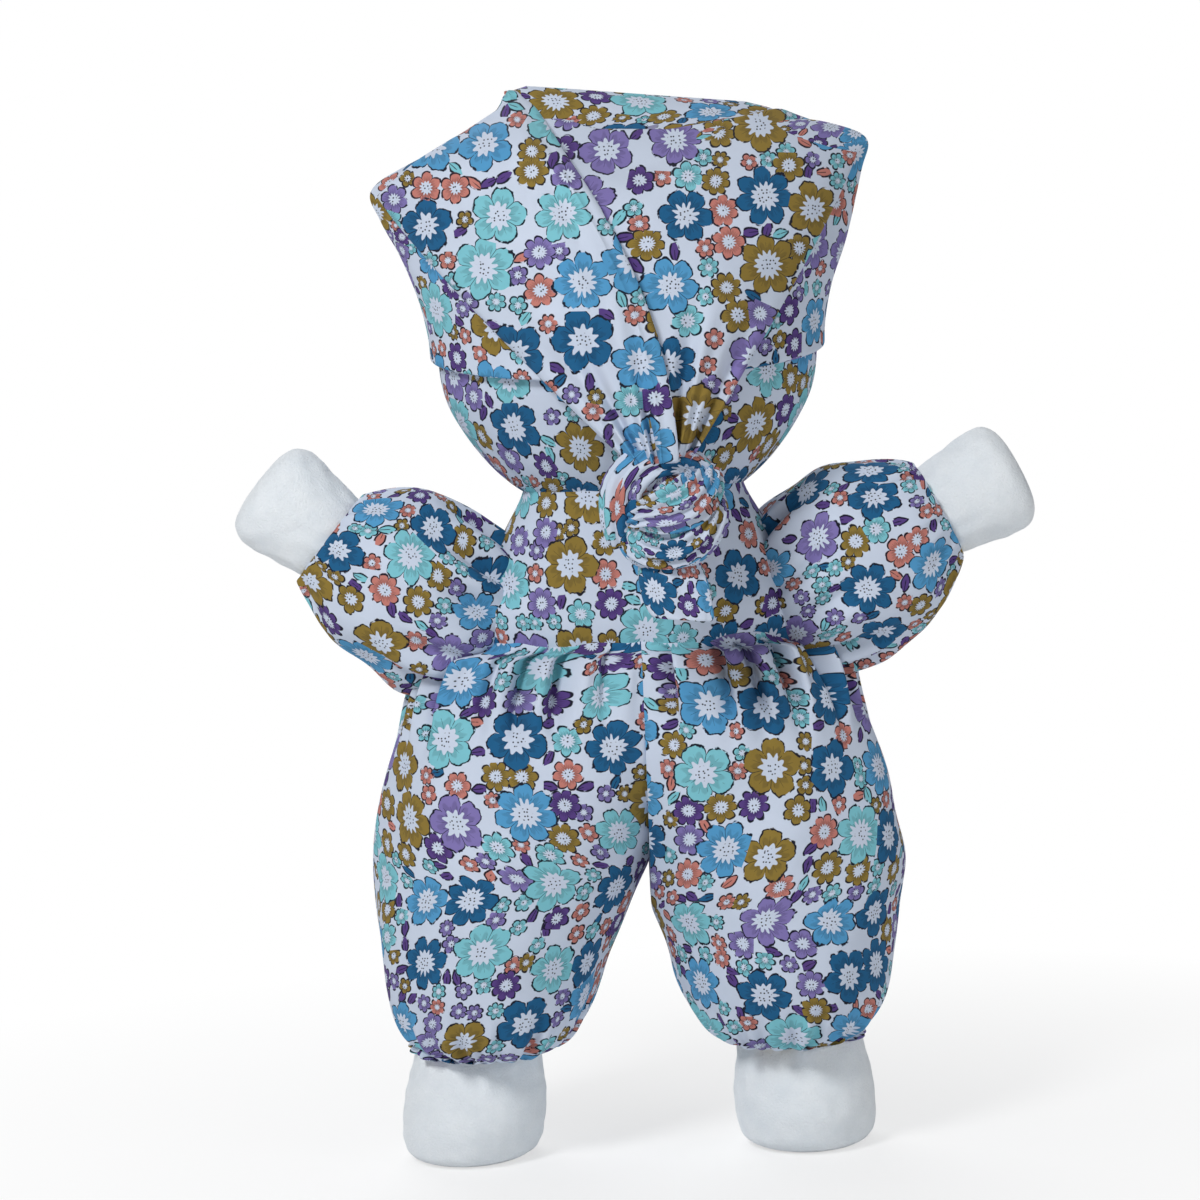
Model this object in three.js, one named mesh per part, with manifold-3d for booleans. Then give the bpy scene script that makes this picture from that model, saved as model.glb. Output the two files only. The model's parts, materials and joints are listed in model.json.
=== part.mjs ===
// Elf comforter doll of printed cotton, stuffed, standing on its feet with its face toward -Y.
// Sizes are in millimetres, +X is the doll's left and +Z is up.
import * as THREE from "three";
import { mergeVertices } from "three/addons/utils/BufferGeometryUtils.js";
import Module from "manifold-3d";

const wasm = await Module();
wasm.setup();

// Cloth and clearances
const COTTON = 1.2; // printed cotton with its seam allowance
const VELOUR = 1.6; // velour of the face, hands and feet
const GAP = 0.35; // clearance between neighbouring pieces
const SOLE_FLAT = 0.5; // how far the round of a foot is pressed flat

// Legs and feet
const ANKLE_HEIGHT = 31; // ankle hinge above the floor
const ANKLE_WIDTH = 30;
const ANKLE_DEPTH = 28;
const ANKLE_INSET = 3.5; // ankle nearer the middle than the foot
const ANKLE_FLARE = 13; // degrees by which the foot widens below the ankle
const FOOT_WIDTH = 37;
const FOOT_LENGTH = 43;
const FOOT_SPREAD = 91; // between the middles of the feet
const TOE_REACH = 4.5; // middle of the foot ahead of the ankle
const TROUSER_LENGTH = 107; // gathered ankle to waist seam
const TROUSER_OVERHANG = 4; // trouser end below the ankle hinge
const LEG_WIDTH = 69; // centre seam to the widest point of one leg
const LEG_DEPTH = 66;
const LEG_LEAN = 6; // both feet to the doll's left of the waist
const WAIST_EASE = 0.6; // fullness of the trousers over the torso at each side

// Torso
const HIP_RISE = 9; // hip hinge above the waist seam at the back
const BODICE_RISE = 30; // hip hinge to neck seam
const WAIST_WIDTH = 91;
const TORSO_DEPTH = 52;
const NECK_WIDTH = 58;
const NECK_DEPTH = 46;
const BODICE_HEM = 17; // cloth of the bodice below the hip hinge
const NECK_TUCK = 7; // cloth of the bodice above the neck hinge, inside the head

// Arms and hands
const ARM_ROOT = 2.5; // middle of the armhole above the hip hinge, along the side
const SLEEVE_LENGTH = 40; // armhole seam to wrist hinge
const SLEEVE_HEIGHT = 50;
const SLEEVE_DEPTH = 43;
const WRIST_WIDTH = 23;
const WRIST_DEPTH = 20;
const WRIST_FLARE = 6; // degrees by which the hand widens beyond the wrist
const HAND_LENGTH = 23; // wrist hinge to finger edge
const HAND_WIDTH = 29;
const HAND_DEPTH = 21;
const LEFT_HAND_TILT = 45; // degrees above level
const RIGHT_HAND_TILT = 26;

// Head and face
const HEAD_HEIGHT = 88;
const HEAD_WIDTH = 98;
const HEAD_DEPTH = 77;
const EYE_SPACING = 29;
const EYE_WIDTH = 5.4;
const EYE_HEIGHT = 7;
const EYE_RISE = 27; // eyes above the neck seam
const MOUTH_WIDTH = 13;
const MOUTH_RISE = 16;
const MOUTH_CURVE = 3; // corners above the middle
const FLOSS = 1.7; // thickness of the embroidery

// Cap
const HEM_RISE = 29; // hem at the back above the neck seam
const HEM_SLOPE = 10.5; // degrees the hem rises toward the forehead
const CAP_RISE = 76.5; // hem at the back to the top of the cap
const EAR_SPAN = 128; // between the two pointed corners
const EAR_RISE = 55.5; // corners above the hem at the back
const EAR_DROP = 3.7; // left corner below and right corner above their mean
const TOP_DROP = 3.2; // left end of the top above and right end below its mean
const TOP_SIDE = -5; // top of the cap to the doll's right of the middle
const TOP_LEAN = 4; // top of the cap ahead of the middle of its hem
const FLAP_THICK = 5;
const PLEAT = 1.8; // left half of the flap folded over its right half
const KNOT_WIDTH = 28;
const KNOT_HEIGHT = 27;
const KNOT_DEPTH = 22;
const KNOT_SIDE = -6.3; // knot to the doll's right of the middle
const KNOT_DROP = 30.5; // knot's middle below the hem at the back
const KNOT_BEHIND = 5; // knot's middle behind the fullest part of the head
const TAIL_LENGTH = 19; // free end of the tip below the knot
const TAIL_WIDTH = 19;
const TAIL_THICK = 9;
const TAIL_SLANT = 5; // tip of the tail to the doll's right of its root

// How far each joint turns, in degrees
const NOD_FORWARD = 25;
const NOD_BACK = 6;
const SWING_FORWARD = 40;
const SWING_BACK = 20;
const HIP_FORWARD = 60;
const HIP_BACK = 12;
const WRIST_TURN = 18;
const ANKLE_TURN = 15;

const SWEEP = 120; // reach of the room cut for a turning piece, past every piece that it is cut from

// Levels
const TROUSER_END = ANKLE_HEIGHT - TROUSER_OVERHANG;
const WAIST_Z = TROUSER_END + TROUSER_LENGTH;
const HIP_Z = WAIST_Z + HIP_RISE;
const NECK_Z = HIP_Z + BODICE_RISE;
const HEM_Z = NECK_Z + HEM_RISE;

const X = new THREE.Vector3(1, 0, 0);
const Y = new THREE.Vector3(0, 1, 0);
const Z = new THREE.Vector3(0, 0, 1);
const FRONT = new THREE.Vector3(0, -1, 0);
const DOWN = new THREE.Vector3(0, 0, -1);
const rad = THREE.MathUtils.degToRad;
const lerp = THREE.MathUtils.lerp;

function solidOf(geometry) {
  const bare = new THREE.BufferGeometry();
  bare.setAttribute("position", geometry.getAttribute("position").clone());
  if (geometry.index) bare.setIndex(geometry.index.clone());
  const merged = mergeVertices(bare, 1e-4);
  const vertProperties = new Float32Array(merged.getAttribute("position").array);
  const triVerts = new Uint32Array(merged.index.array);
  return new wasm.Manifold(new wasm.Mesh({ numProp: 3, vertProperties, triVerts }));
}

function geometryOf(solid) {
  const mesh = solid.getMesh();
  const geometry = new THREE.BufferGeometry();
  geometry.setAttribute("position", new THREE.BufferAttribute(new Float32Array(mesh.vertProperties), 3));
  geometry.setIndex(new THREE.BufferAttribute(new Uint32Array(mesh.triVerts), 1));
  geometry.computeVertexNormals();
  return geometry;
}

// Closed solid over a stack of rings of equal count, with a fan at each end.
function loft(rings) {
  const sides = rings[0].length;
  const points = rings.flat();
  const triangles = [];
  for (let row = 0; row < rings.length - 1; row++) {
    for (let column = 0; column < sides; column++) {
      const next = (column + 1) % sides;
      const low = row * sides;
      const high = low + sides;
      triangles.push(low + column, low + next, high + next);
      triangles.push(low + column, high + next, high + column);
    }
  }
  const middle = (ring) => ring.reduce((sum, p) => sum.add(p), new THREE.Vector3()).divideScalar(sides);
  const first = points.length;
  points.push(middle(rings[0]), middle(rings[rings.length - 1]));
  const top = (rings.length - 1) * sides;
  for (let column = 0; column < sides; column++) {
    const next = (column + 1) % sides;
    triangles.push(first, next, column);
    triangles.push(first + 1, top + column, top + next);
  }
  const geometry = new THREE.BufferGeometry();
  geometry.setAttribute("position", new THREE.Float32BufferAttribute(points.flatMap((p) => p.toArray()), 3));
  geometry.setIndex(triangles);
  return solidOf(geometry);
}

// A frame for a form: its axis runs from the origin, with a width and a depth direction across it.
function frameAlong(origin, axis) {
  return { origin, axis, deep: Y, wide: new THREE.Vector3().crossVectors(Y, axis) };
}

const UPRIGHT = { origin: new THREE.Vector3(), axis: Z, deep: Y, wide: X };

// One ring of a form. `pinch` draws its two width ends to a point, `tip` raises one width end over the other.
function ring(frame, sides, size) {
  const { along, wide, deep, side = 0, back = 0, pinch = 0, tip = 0 } = size;
  const points = [];
  for (let i = 0; i < sides; i++) {
    const turn = (2 * Math.PI * i) / sides;
    const reach = wide * Math.cos(turn);
    const sine = Math.sin(turn);
    const bulge = deep * Math.sign(sine) * Math.abs(sine) ** (1 + pinch);
    const point = frame.origin.clone();
    point.addScaledVector(frame.axis, along + tip * Math.cos(turn));
    point.addScaledVector(frame.wide, side + reach);
    point.addScaledVector(frame.deep, back + bulge);
    points.push(point);
  }
  return points;
}

// Sizes along a form, read between its stations on a smooth curve.
class Swell {
  constructor(stations) {
    const curve = (pick) => new THREE.CatmullRomCurve3(stations.map(pick), false, "catmullrom", 0.5);
    this.size = curve((s) => new THREE.Vector3(s.along, s.wide, s.deep));
    this.shift = curve((s) => new THREE.Vector3(s.side ?? 0, s.back ?? 0, s.pinch ?? 0));
    this.tips = curve((s) => new THREE.Vector3(s.tip ?? 0, 0, 0));
  }

  point(share) {
    const size = this.size.getPoint(share);
    const shift = this.shift.getPoint(share);
    const tip = this.tips.getPoint(share).x;
    return { along: size.x, wide: size.y, deep: size.z, side: shift.x, back: shift.y, pinch: shift.z, tip };
  }

  at(along) {
    let low = 0;
    let high = 1;
    for (let step = 0; step < 40; step++) {
      const middle = (low + high) / 2;
      if (this.size.getPoint(middle).x < along) low = middle;
      else high = middle;
    }
    return this.point(low);
  }

  // Rings of the form, its surface moved outward by `grow`.
  rings(frame, rows, sides, grow) {
    const rings = [];
    for (let row = 0; row < rows; row++) {
      const share = row / (rows - 1);
      const size = this.point(share);
      size.along += grow * (2 * share - 1);
      size.wide = Math.max(size.wide + grow, 0.2);
      size.deep = Math.max(size.deep + grow, 0.2);
      rings.push(ring(frame, sides, size));
    }
    return rings;
  }
}

// Space that a neighbour takes up as it turns about a hinge: a round about the hinge and the two walls
// that leave it, each at its angle from `toward`, the first on the side of `across`.
function sweptSpace(pivot, toward, across, radius, ahead, behind, reach, halfLength) {
  const first = rad(ahead);
  const second = rad(behind);
  const shape = new THREE.Shape();
  shape.moveTo(-radius * Math.sin(first), radius * Math.cos(first));
  if (radius > 0) shape.absarc(0, 0, radius, Math.PI / 2 + first, 1.5 * Math.PI - second, false);
  const steps = 6;
  const far = (angle, offset) => [
    reach * Math.cos(angle) - offset * Math.sin(angle),
    reach * Math.sin(angle) + offset * Math.cos(angle),
  ];
  shape.lineTo(...far(-second, -radius));
  for (let step = 1; step < steps; step++) shape.lineTo(...far(lerp(-second, first, step / steps), 0));
  shape.lineTo(...far(first, radius));
  shape.closePath();
  const geometry = new THREE.ExtrudeGeometry(shape, {
    depth: 2 * halfLength,
    bevelEnabled: false,
    curveSegments: 8,
  });
  geometry.translate(0, 0, -halfLength);
  const axis = new THREE.Vector3().crossVectors(toward, across);
  geometry.applyMatrix4(new THREE.Matrix4().makeBasis(toward, across, axis).setPosition(pivot));
  return solidOf(geometry);
}

// Everything on the side of a plane that its normal points to.
function beyond(point, normal) {
  const size = 800;
  const geometry = new THREE.BoxGeometry(size, size, size);
  geometry.translate(0, 0, size / 2);
  const turn = new THREE.Quaternion().setFromUnitVectors(Z, normal.clone().normalize());
  geometry.applyQuaternion(turn);
  geometry.translate(point.x, point.y, point.z);
  return solidOf(geometry);
}

const aboveLevel = (z) => beyond(new THREE.Vector3(0, 0, z), Z);
const belowLevel = (z) => beyond(new THREE.Vector3(0, 0, z), DOWN);

function ellipsoid(centre, x, y, z, segments) {
  const geometry = new THREE.SphereGeometry(1, segments, Math.round(segments * 0.6));
  geometry.scale(x, y, z);
  geometry.translate(centre.x, centre.y, centre.z);
  return solidOf(geometry);
}

// Torso: rounded about the hip hinge below and about the neck hinge above, its sides straight between them.
function torsoForm(grow) {
  const hip = TORSO_DEPTH / 2 + grow;
  const waist = WAIST_WIDTH / 2 + grow;
  const neckDeep = NECK_DEPTH / 2 + grow;
  const neckWide = NECK_WIDTH / 2 + grow;
  const rings = [];
  const add = (along, wide, deep) => rings.push(ring(UPRIGHT, 20, { along, wide, deep }));
  for (const turn of [-82, -60, -40, -20]) {
    const drop = Math.sin(rad(turn));
    add(HIP_Z + hip * drop, waist * (1 - 0.06 * drop * drop), hip * Math.cos(rad(turn)));
  }
  for (const share of [0, 0.35, 0.7, 1]) {
    add(lerp(HIP_Z, NECK_Z, share), lerp(waist, neckWide, share), lerp(hip, neckDeep, share));
  }
  for (const turn of [22, 44, 66, 84]) {
    const shrink = Math.cos(rad(turn));
    add(NECK_Z + neckDeep * Math.sin(rad(turn)), neckWide * Math.sqrt(shrink), neckDeep * shrink);
  }
  return loft(rings);
}

// Head: fullest below its middle, narrowing to the neck.
const headSwell = new Swell(
  [
    [0, 0.58, 0.6],
    [0.09, 0.73, 0.76],
    [0.19, 0.88, 0.89],
    [0.3, 0.98, 0.97],
    [0.44, 1, 1],
    [0.6, 0.96, 0.97],
    [0.76, 0.83, 0.84],
    [0.89, 0.58, 0.6],
    [0.97, 0.28, 0.3],
    [1, 0.03, 0.03],
  ].map(([rise, wide, deep]) => ({
    along: NECK_Z + rise * HEAD_HEIGHT,
    wide: (wide * HEAD_WIDTH) / 2,
    deep: (deep * HEAD_DEPTH) / 2,
  })),
);
const headForm = (grow) => loft(headSwell.rings(UPRIGHT, 10, 18, grow));

function headFront(x, z) {
  const size = headSwell.at(z);
  return -size.deep * Math.sqrt(1 - (x / size.wide) ** 2);
}

// Crown of the cap: round at the hem, spread to two pointed corners, closed along the top.
const bandWide = HEAD_WIDTH / 2 + GAP + COTTON;
const bandDeep = HEAD_DEPTH / 2 + GAP + COTTON;
const earWide = EAR_SPAN / 2;
const earZ = HEM_Z + EAR_RISE;
const topZ = HEM_Z + CAP_RISE - TOP_DROP;
const sideWide = (share) => lerp(bandWide, earWide, share);
const belowEars = [
  [-0.14, bandWide, 1, 0, 0, 0],
  [0.04, bandWide, 1, 0, 0, 0],
  [0.3, sideWide(0.12), 1, 0, 0, 0],
  [0.57, sideWide(0.42), 0.97, 0.2, 0, 0],
  [0.84, sideWide(0.82), 0.87, 0.6, -0.25 * TOP_LEAN, -EAR_DROP],
  [1, earWide, 0.75, 0.9, -0.5 * TOP_LEAN, -EAR_DROP],
].map(([share, ...sizes]) => [lerp(HEM_Z, earZ, share), 0, ...sizes]);
const aboveEars = [
  [0.36, 0.85 * earWide, 0.62, 0.6, -0.75 * TOP_LEAN, -0.5 * EAR_DROP],
  [0.66, 0.64 * earWide, 0.44, 0.3, -TOP_LEAN, 0.5 * TOP_DROP],
  [0.88, 0.54 * earWide, 0.25, 0.1, -TOP_LEAN, TOP_DROP],
  [1, 0.44 * earWide, 0.08, 0, -TOP_LEAN, TOP_DROP],
].map(([share, ...sizes]) => [lerp(earZ, topZ, share), TOP_SIDE * share, ...sizes]);
const crownSwell = new Swell(
  [...belowEars, ...aboveEars].map(([along, side, wide, deep, pinch, back, tip]) => ({
    along,
    side,
    wide,
    deep: deep * bandDeep,
    pinch,
    back,
    tip,
  })),
);
const crownForm = (grow) => loft(crownSwell.rings(UPRIGHT, 10, 20, grow));

function crownBack(x, z) {
  const size = crownSwell.at(z);
  const share = Math.min(Math.abs((x - size.side) / size.wide), 1);
  return size.back + size.deep * Math.sqrt(1 - share * share) ** (1 + size.pinch);
}

// One trouser leg: narrow at the waist, full at the seat and thigh, drawn in at the ankle.
function legShift(z) {
  return LEG_LEAN * (1 - z / WAIST_Z);
}

function footMiddle(side) {
  return (side * FOOT_SPREAD) / 2 + LEG_LEAN;
}

function ankleMiddle(side) {
  return side * (FOOT_SPREAD / 2 - ANKLE_INSET) + legShift(ANKLE_HEIGHT);
}

function trouserForm(side, grow) {
  const ankle = FOOT_SPREAD / 2 - ANKLE_INSET;
  const waist = WAIST_WIDTH / 2 + GAP + COTTON + WAIST_EASE;
  const stations = [
    [0, ankle - 0.2 * LEG_WIDTH, ankle + 0.19 * LEG_WIDTH, 0.5],
    [0.05, 0.27 * LEG_WIDTH, 0.86 * LEG_WIDTH, 0.76],
    [0.13, 0.17 * LEG_WIDTH, 0.915 * LEG_WIDTH, 0.88],
    [0.24, 0.1 * LEG_WIDTH, 0.965 * LEG_WIDTH, 0.96],
    [0.38, 0.01 * LEG_WIDTH, LEG_WIDTH, 1],
    [0.52, -0.1 * LEG_WIDTH, 0.99 * LEG_WIDTH, 1],
    [0.7, -0.3 * LEG_WIDTH, 0.91 * LEG_WIDTH, 0.97],
    [0.86, -0.54 * LEG_WIDTH, 0.8 * LEG_WIDTH, 0.9],
    [1, -waist, waist, 0.84],
  ].map(([rise, inner, outer, deep]) => {
    const along = TROUSER_END + rise * TROUSER_LENGTH;
    return {
      along,
      wide: (outer - inner) / 2,
      deep: (deep * LEG_DEPTH) / 2,
      side: (side * (outer + inner)) / 2 + legShift(along),
    };
  });
  return loft(new Swell(stations).rings(UPRIGHT, 9, 16, grow));
}

// Foot: flat below, toe to the front, its top rounded about the ankle hinge.
function footForm(side, grow) {
  const foot = footMiddle(side);
  const ankle = ankleMiddle(side);
  const rings = [];
  const add = (along, wide, deep, x, back) => {
    rings.push(ring(UPRIGHT, 14, { along, wide: wide + grow, deep: deep + grow, side: x, back }));
  };
  const shin = 0.8;
  const flared = ANKLE_DEPTH / 2 + (1 - shin) * ANKLE_HEIGHT * Math.tan(rad(ANKLE_FLARE));
  const rows = [
    [0, 0.34 * FOOT_WIDTH, 0.36 * FOOT_LENGTH],
    [0.04, 0.43 * FOOT_WIDTH, 0.44 * FOOT_LENGTH],
    [0.13, 0.485 * FOOT_WIDTH, 0.485 * FOOT_LENGTH],
    [0.36, FOOT_WIDTH / 2, FOOT_LENGTH / 2],
    [0.58, 0.47 * FOOT_WIDTH, 0.43 * FOOT_LENGTH],
    [shin, ANKLE_WIDTH / 2, flared],
  ];
  for (const [rise, wide, deep] of rows) {
    const along = rise * ANKLE_HEIGHT - SOLE_FLAT - grow * (1 - rise);
    add(along, wide, deep, lerp(foot, ankle, rise), -TOE_REACH * (1 - rise) ** 1.6);
  }
  for (const turn of [0, 25, 50, 72, 86]) {
    const shrink = Math.cos(rad(turn));
    const along = ANKLE_HEIGHT + (ANKLE_DEPTH / 2 + grow) * Math.sin(rad(turn));
    const wide = (ANKLE_WIDTH / 2) * Math.sqrt(shrink);
    const deep = (ANKLE_DEPTH / 2 + grow) * shrink - grow;
    add(along, wide, deep, ankle, 0);
  }
  return loft(rings);
}

// The side of the torso leans in from hip to neck, and the arm stands square to it.
const sideLean = Math.atan2((WAIST_WIDTH - NECK_WIDTH) / 2, BODICE_RISE);

function armFrame(side) {
  const axis = new THREE.Vector3(side * Math.cos(sideLean), 0, Math.sin(sideLean));
  const origin = new THREE.Vector3(
    side * (WAIST_WIDTH / 2 - ARM_ROOT * Math.sin(sideLean)),
    0,
    HIP_Z + ARM_ROOT * Math.cos(sideLean),
  );
  return frameAlong(origin.addScaledVector(axis, GAP), axis);
}

function handFrame(side) {
  const arm = armFrame(side);
  const tilt = rad(side > 0 ? LEFT_HAND_TILT : RIGHT_HAND_TILT);
  const origin = arm.origin.clone().addScaledVector(arm.axis, SLEEVE_LENGTH);
  return frameAlong(origin, new THREE.Vector3(side * Math.cos(tilt), 0, Math.sin(tilt)));
}

// Sleeve: full at the armhole, drawn in round at the wrist.
const sleeveSwell = new Swell(
  [
    [-0.16, 0.84, 0.84],
    [0, 0.92, 0.93],
    [0.22, 1, 1],
    [0.48, 1, 1],
    [0.72, 0.88, 0.9],
    [0.89, 0.68, 0.74],
    [1, 0.46, 0.54],
    [1.05, 0.22, 0.28],
    [1.07, 0.02, 0.03],
  ].map(([along, wide, deep]) => ({
    along: along * SLEEVE_LENGTH,
    wide: (wide * SLEEVE_HEIGHT) / 2,
    deep: (deep * SLEEVE_DEPTH) / 2,
  })),
);
const sleeveForm = (side, grow) => loft(sleeveSwell.rings(armFrame(side), 9, 14, grow));

// Hand: a mitten, its root rounded about the wrist hinge.
function handForm(side, grow) {
  const frame = handFrame(side);
  const rings = [];
  const add = (along, wide, deep) => {
    const size = { along, wide: Math.max(wide + grow, 0.2), deep: Math.max(deep + grow, 0.2) };
    rings.push(ring(frame, 12, size));
  };
  for (const turn of [-84, -66, -44, -22]) {
    const shrink = Math.cos(rad(turn));
    const along = (WRIST_WIDTH / 2 + grow) * Math.sin(rad(turn));
    add(along, (WRIST_WIDTH / 2 + grow) * shrink - grow, (WRIST_DEPTH / 2) * Math.sqrt(shrink));
  }
  const rows = [
    [0.58, 1, 1],
    [0.78, 0.95, 0.92],
    [0.91, 0.74, 0.7],
    [0.975, 0.4, 0.38],
    [1, 0.06, 0.06],
  ];
  const palm = 0.3 * HAND_LENGTH;
  add(0, WRIST_WIDTH / 2, WRIST_DEPTH / 2);
  add(palm, WRIST_WIDTH / 2 + palm * Math.tan(rad(WRIST_FLARE)), 0.49 * HAND_DEPTH);
  for (const [along, wide, deep] of rows) {
    add(along * (HAND_LENGTH + grow), (wide * HAND_WIDTH) / 2, (deep * HAND_DEPTH) / 2);
  }
  return loft(rings);
}

// Spaces that the turning pieces need
const hipSpace = sweptSpace(
  new THREE.Vector3(0, 0, HIP_Z),
  Z,
  FRONT,
  TORSO_DEPTH / 2 + GAP,
  HIP_FORWARD,
  HIP_BACK,
  SWEEP,
  WAIST_WIDTH / 2 + GAP,
);
const bodiceFlare = THREE.MathUtils.radToDeg(Math.atan2((TORSO_DEPTH - NECK_DEPTH) / 2, BODICE_RISE));
const neckSpace = sweptSpace(
  new THREE.Vector3(0, 0, NECK_Z),
  DOWN,
  FRONT,
  NECK_DEPTH / 2 + GAP,
  NOD_FORWARD + bodiceFlare,
  NOD_BACK + bodiceFlare,
  SWEEP,
  NECK_WIDTH / 2 + GAP,
);

function shoulderSpace(side) {
  const arm = armFrame(side);
  const inward = arm.axis.clone().negate();
  return sweptSpace(arm.origin, inward, FRONT, 0, 90 + SWING_FORWARD, 90 + SWING_BACK, SWEEP, SLEEVE_HEIGHT);
}

function wristSpace(side) {
  const hand = handFrame(side);
  const radius = WRIST_WIDTH / 2 + GAP;
  const turn = WRIST_TURN + WRIST_FLARE;
  return sweptSpace(hand.origin, hand.axis, hand.wide, radius, turn, turn, SWEEP, HAND_DEPTH / 2 + GAP);
}

function ankleSpace(side) {
  const pivot = new THREE.Vector3(ankleMiddle(side), 0, ANKLE_HEIGHT);
  const radius = ANKLE_DEPTH / 2 + GAP;
  const turn = ANKLE_TURN + ANKLE_FLARE;
  return sweptSpace(pivot, DOWN, FRONT, radius, turn, turn, SWEEP, ANKLE_WIDTH / 2 + GAP);
}

// Colours of the cloths, the stuffing and the floss
const PRINT = { color: 0xa9b7cf, roughness: 0.9, metalness: 0 };
const WHITE_VELOUR = { color: 0xe6e8ea, roughness: 0.95, metalness: 0 };
const FIBRE = { color: 0xf2f1ec, roughness: 1, metalness: 0 };
const DARK_FLOSS = { color: 0x3b3550, roughness: 0.7, metalness: 0 };
const ROSE_FLOSS = { color: 0xc47a72, roughness: 0.7, metalness: 0 };

const doll = new THREE.Group();
doll.userData.hinge = new THREE.Vector3();

// A group of pieces that turn as one, placed at its hinge inside the group that carries it.
function turningGroup(carrier, hinge) {
  const group = new THREE.Group();
  group.userData.hinge = hinge;
  group.position.subVectors(hinge, carrier.userData.hinge);
  carrier.add(group);
  return group;
}

function piece(group, name, solid, look) {
  const { x, y, z } = group.userData.hinge;
  const geometry = geometryOf(solid).translate(-x, -y, -z);
  const mesh = new THREE.Mesh(geometry, new THREE.MeshStandardMaterial(look));
  mesh.name = name;
  group.add(mesh);
}

// Torso and bodice
const hipHinge = new THREE.Vector3(0, 0, HIP_Z);
const torso = turningGroup(doll, hipHinge);
const bodice = torsoForm(0)
  .subtract(torsoForm(-COTTON))
  .subtract(aboveLevel(NECK_Z + NECK_TUCK))
  .subtract(belowLevel(HIP_Z - BODICE_HEM));
const backHalf = beyond(new THREE.Vector3(0, GAP / 2, 0), Y);
const frontHalf = beyond(new THREE.Vector3(0, -GAP / 2, 0), FRONT);
const leftOfSeam = beyond(new THREE.Vector3(GAP / 2, 0, 0), X);
const rightOfSeam = beyond(new THREE.Vector3(-GAP / 2, 0, 0), X.clone().negate());
piece(torso, "torso_stuffing", torsoForm(-COTTON - GAP), FIBRE);
piece(torso, "bodice_front", bodice.intersect(frontHalf), PRINT);
piece(torso, "bodice_left_back", bodice.intersect(backHalf).intersect(leftOfSeam), PRINT);
piece(torso, "bodice_right_back", bodice.intersect(backHalf).intersect(rightOfSeam), PRINT);

// Head
const neckHinge = new THREE.Vector3(0, 0, NECK_Z);
const head = turningGroup(torso, neckHinge);
const headSkin = headForm(0).subtract(headForm(-VELOUR)).subtract(neckSpace);
piece(head, "head_stuffing", headForm(-VELOUR - GAP).subtract(neckSpace), FIBRE);
piece(head, "face_panel", headSkin.intersect(frontHalf), WHITE_VELOUR);
piece(head, "head_back_panel", headSkin.intersect(backHalf), PRINT);
const headRoom = headForm(GAP);
for (const side of [1, -1]) {
  const x = (side * EYE_SPACING) / 2;
  const z = NECK_Z + EYE_RISE;
  const centre = new THREE.Vector3(x, headFront(x, z), z);
  const eye = ellipsoid(centre, EYE_WIDTH / 2, FLOSS, EYE_HEIGHT / 2, 10).subtract(headRoom);
  piece(head, side > 0 ? "left_eye" : "right_eye", eye, DARK_FLOSS);
}
const smile = [];
for (const share of [-1, -0.5, 0, 0.5, 1]) {
  const x = (share * MOUTH_WIDTH) / 2;
  const z = NECK_Z + MOUTH_RISE + MOUTH_CURVE * share * share;
  smile.push(new THREE.Vector3(x, headFront(x, z) - GAP, z));
}
const floss = new THREE.Shape();
floss.absarc(0, 0, FLOSS / 2, 0, 2 * Math.PI, false);
const mouth = new THREE.ExtrudeGeometry(floss, {
  steps: 8,
  curveSegments: 6,
  bevelEnabled: false,
  extrudePath: new THREE.CatmullRomCurve3(smile),
});
piece(head, "mouth", solidOf(mouth).subtract(headRoom), ROSE_FLOSS);

// Cap: crown, then the folded tip with its knot
const slope = rad(HEM_SLOPE);
const hemPoint = new THREE.Vector3(0, bandDeep, HEM_Z);
const underHem = beyond(hemPoint, new THREE.Vector3(0, -Math.sin(slope), -Math.cos(slope)));
const crown = crownForm(0).subtract(crownForm(-COTTON)).subtract(headRoom).subtract(underHem);
piece(head, "cap_crown", crown, PRINT);

const knot = new THREE.Vector3(KNOT_SIDE, HEAD_DEPTH / 2 + KNOT_BEHIND, HEM_Z - KNOT_DROP);
const foldZ = lerp(earZ, topZ, 0.45);
const foldHinge = new THREE.Vector3(0, crownSwell.at(earZ).back, foldZ);
const capTail = turningGroup(head, foldHinge);
const flapEnd = knot.z + KNOT_HEIGHT / 2 + GAP;
const flapRings = [];
const flapRows = 8;
for (let row = 0; row < flapRows; row++) {
  const z = lerp(flapEnd, foldZ, row / (flapRows - 1));
  const taper = Math.min((z - flapEnd) / (earZ - flapEnd), 1);
  const past = Math.max(z - earZ, 0) / (foldZ - earZ);
  const wide = lerp(0.34 * KNOT_WIDTH, 0.97 * earWide, taper) * (1 - 0.2 * past);
  const middle = lerp(KNOT_SIDE, 0, Math.min(taper * 1.6, 1));
  const pleat = 0.35 * taper * taper;
  const points = [];
  const add = (share, raise) => {
    const x = middle + wide * share;
    points.push(new THREE.Vector3(x, crownBack(x, Math.max(z, HEM_Z)) + raise, z));
  };
  const swell = (share) => COTTON + FLAP_THICK * Math.sqrt(1 - share * share);
  for (const share of [1, 0.88, 0.68, 0.5, pleat + 0.04]) {
    add(share, swell(share) + (PLEAT * (1 - share)) / (1 - pleat));
  }
  for (const share of [pleat - 0.04, -0.22, -0.48, -0.72, -0.9]) add(share, swell(share));
  for (const share of [-1, -0.8, -0.5, -0.2, 0.2, 0.5, 0.8]) add(share, -COTTON);
  flapRings.push(points);
}
piece(capTail, "cap_flap", loft(flapRings).subtract(crownForm(GAP)).subtract(headRoom), PRINT);

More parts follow.
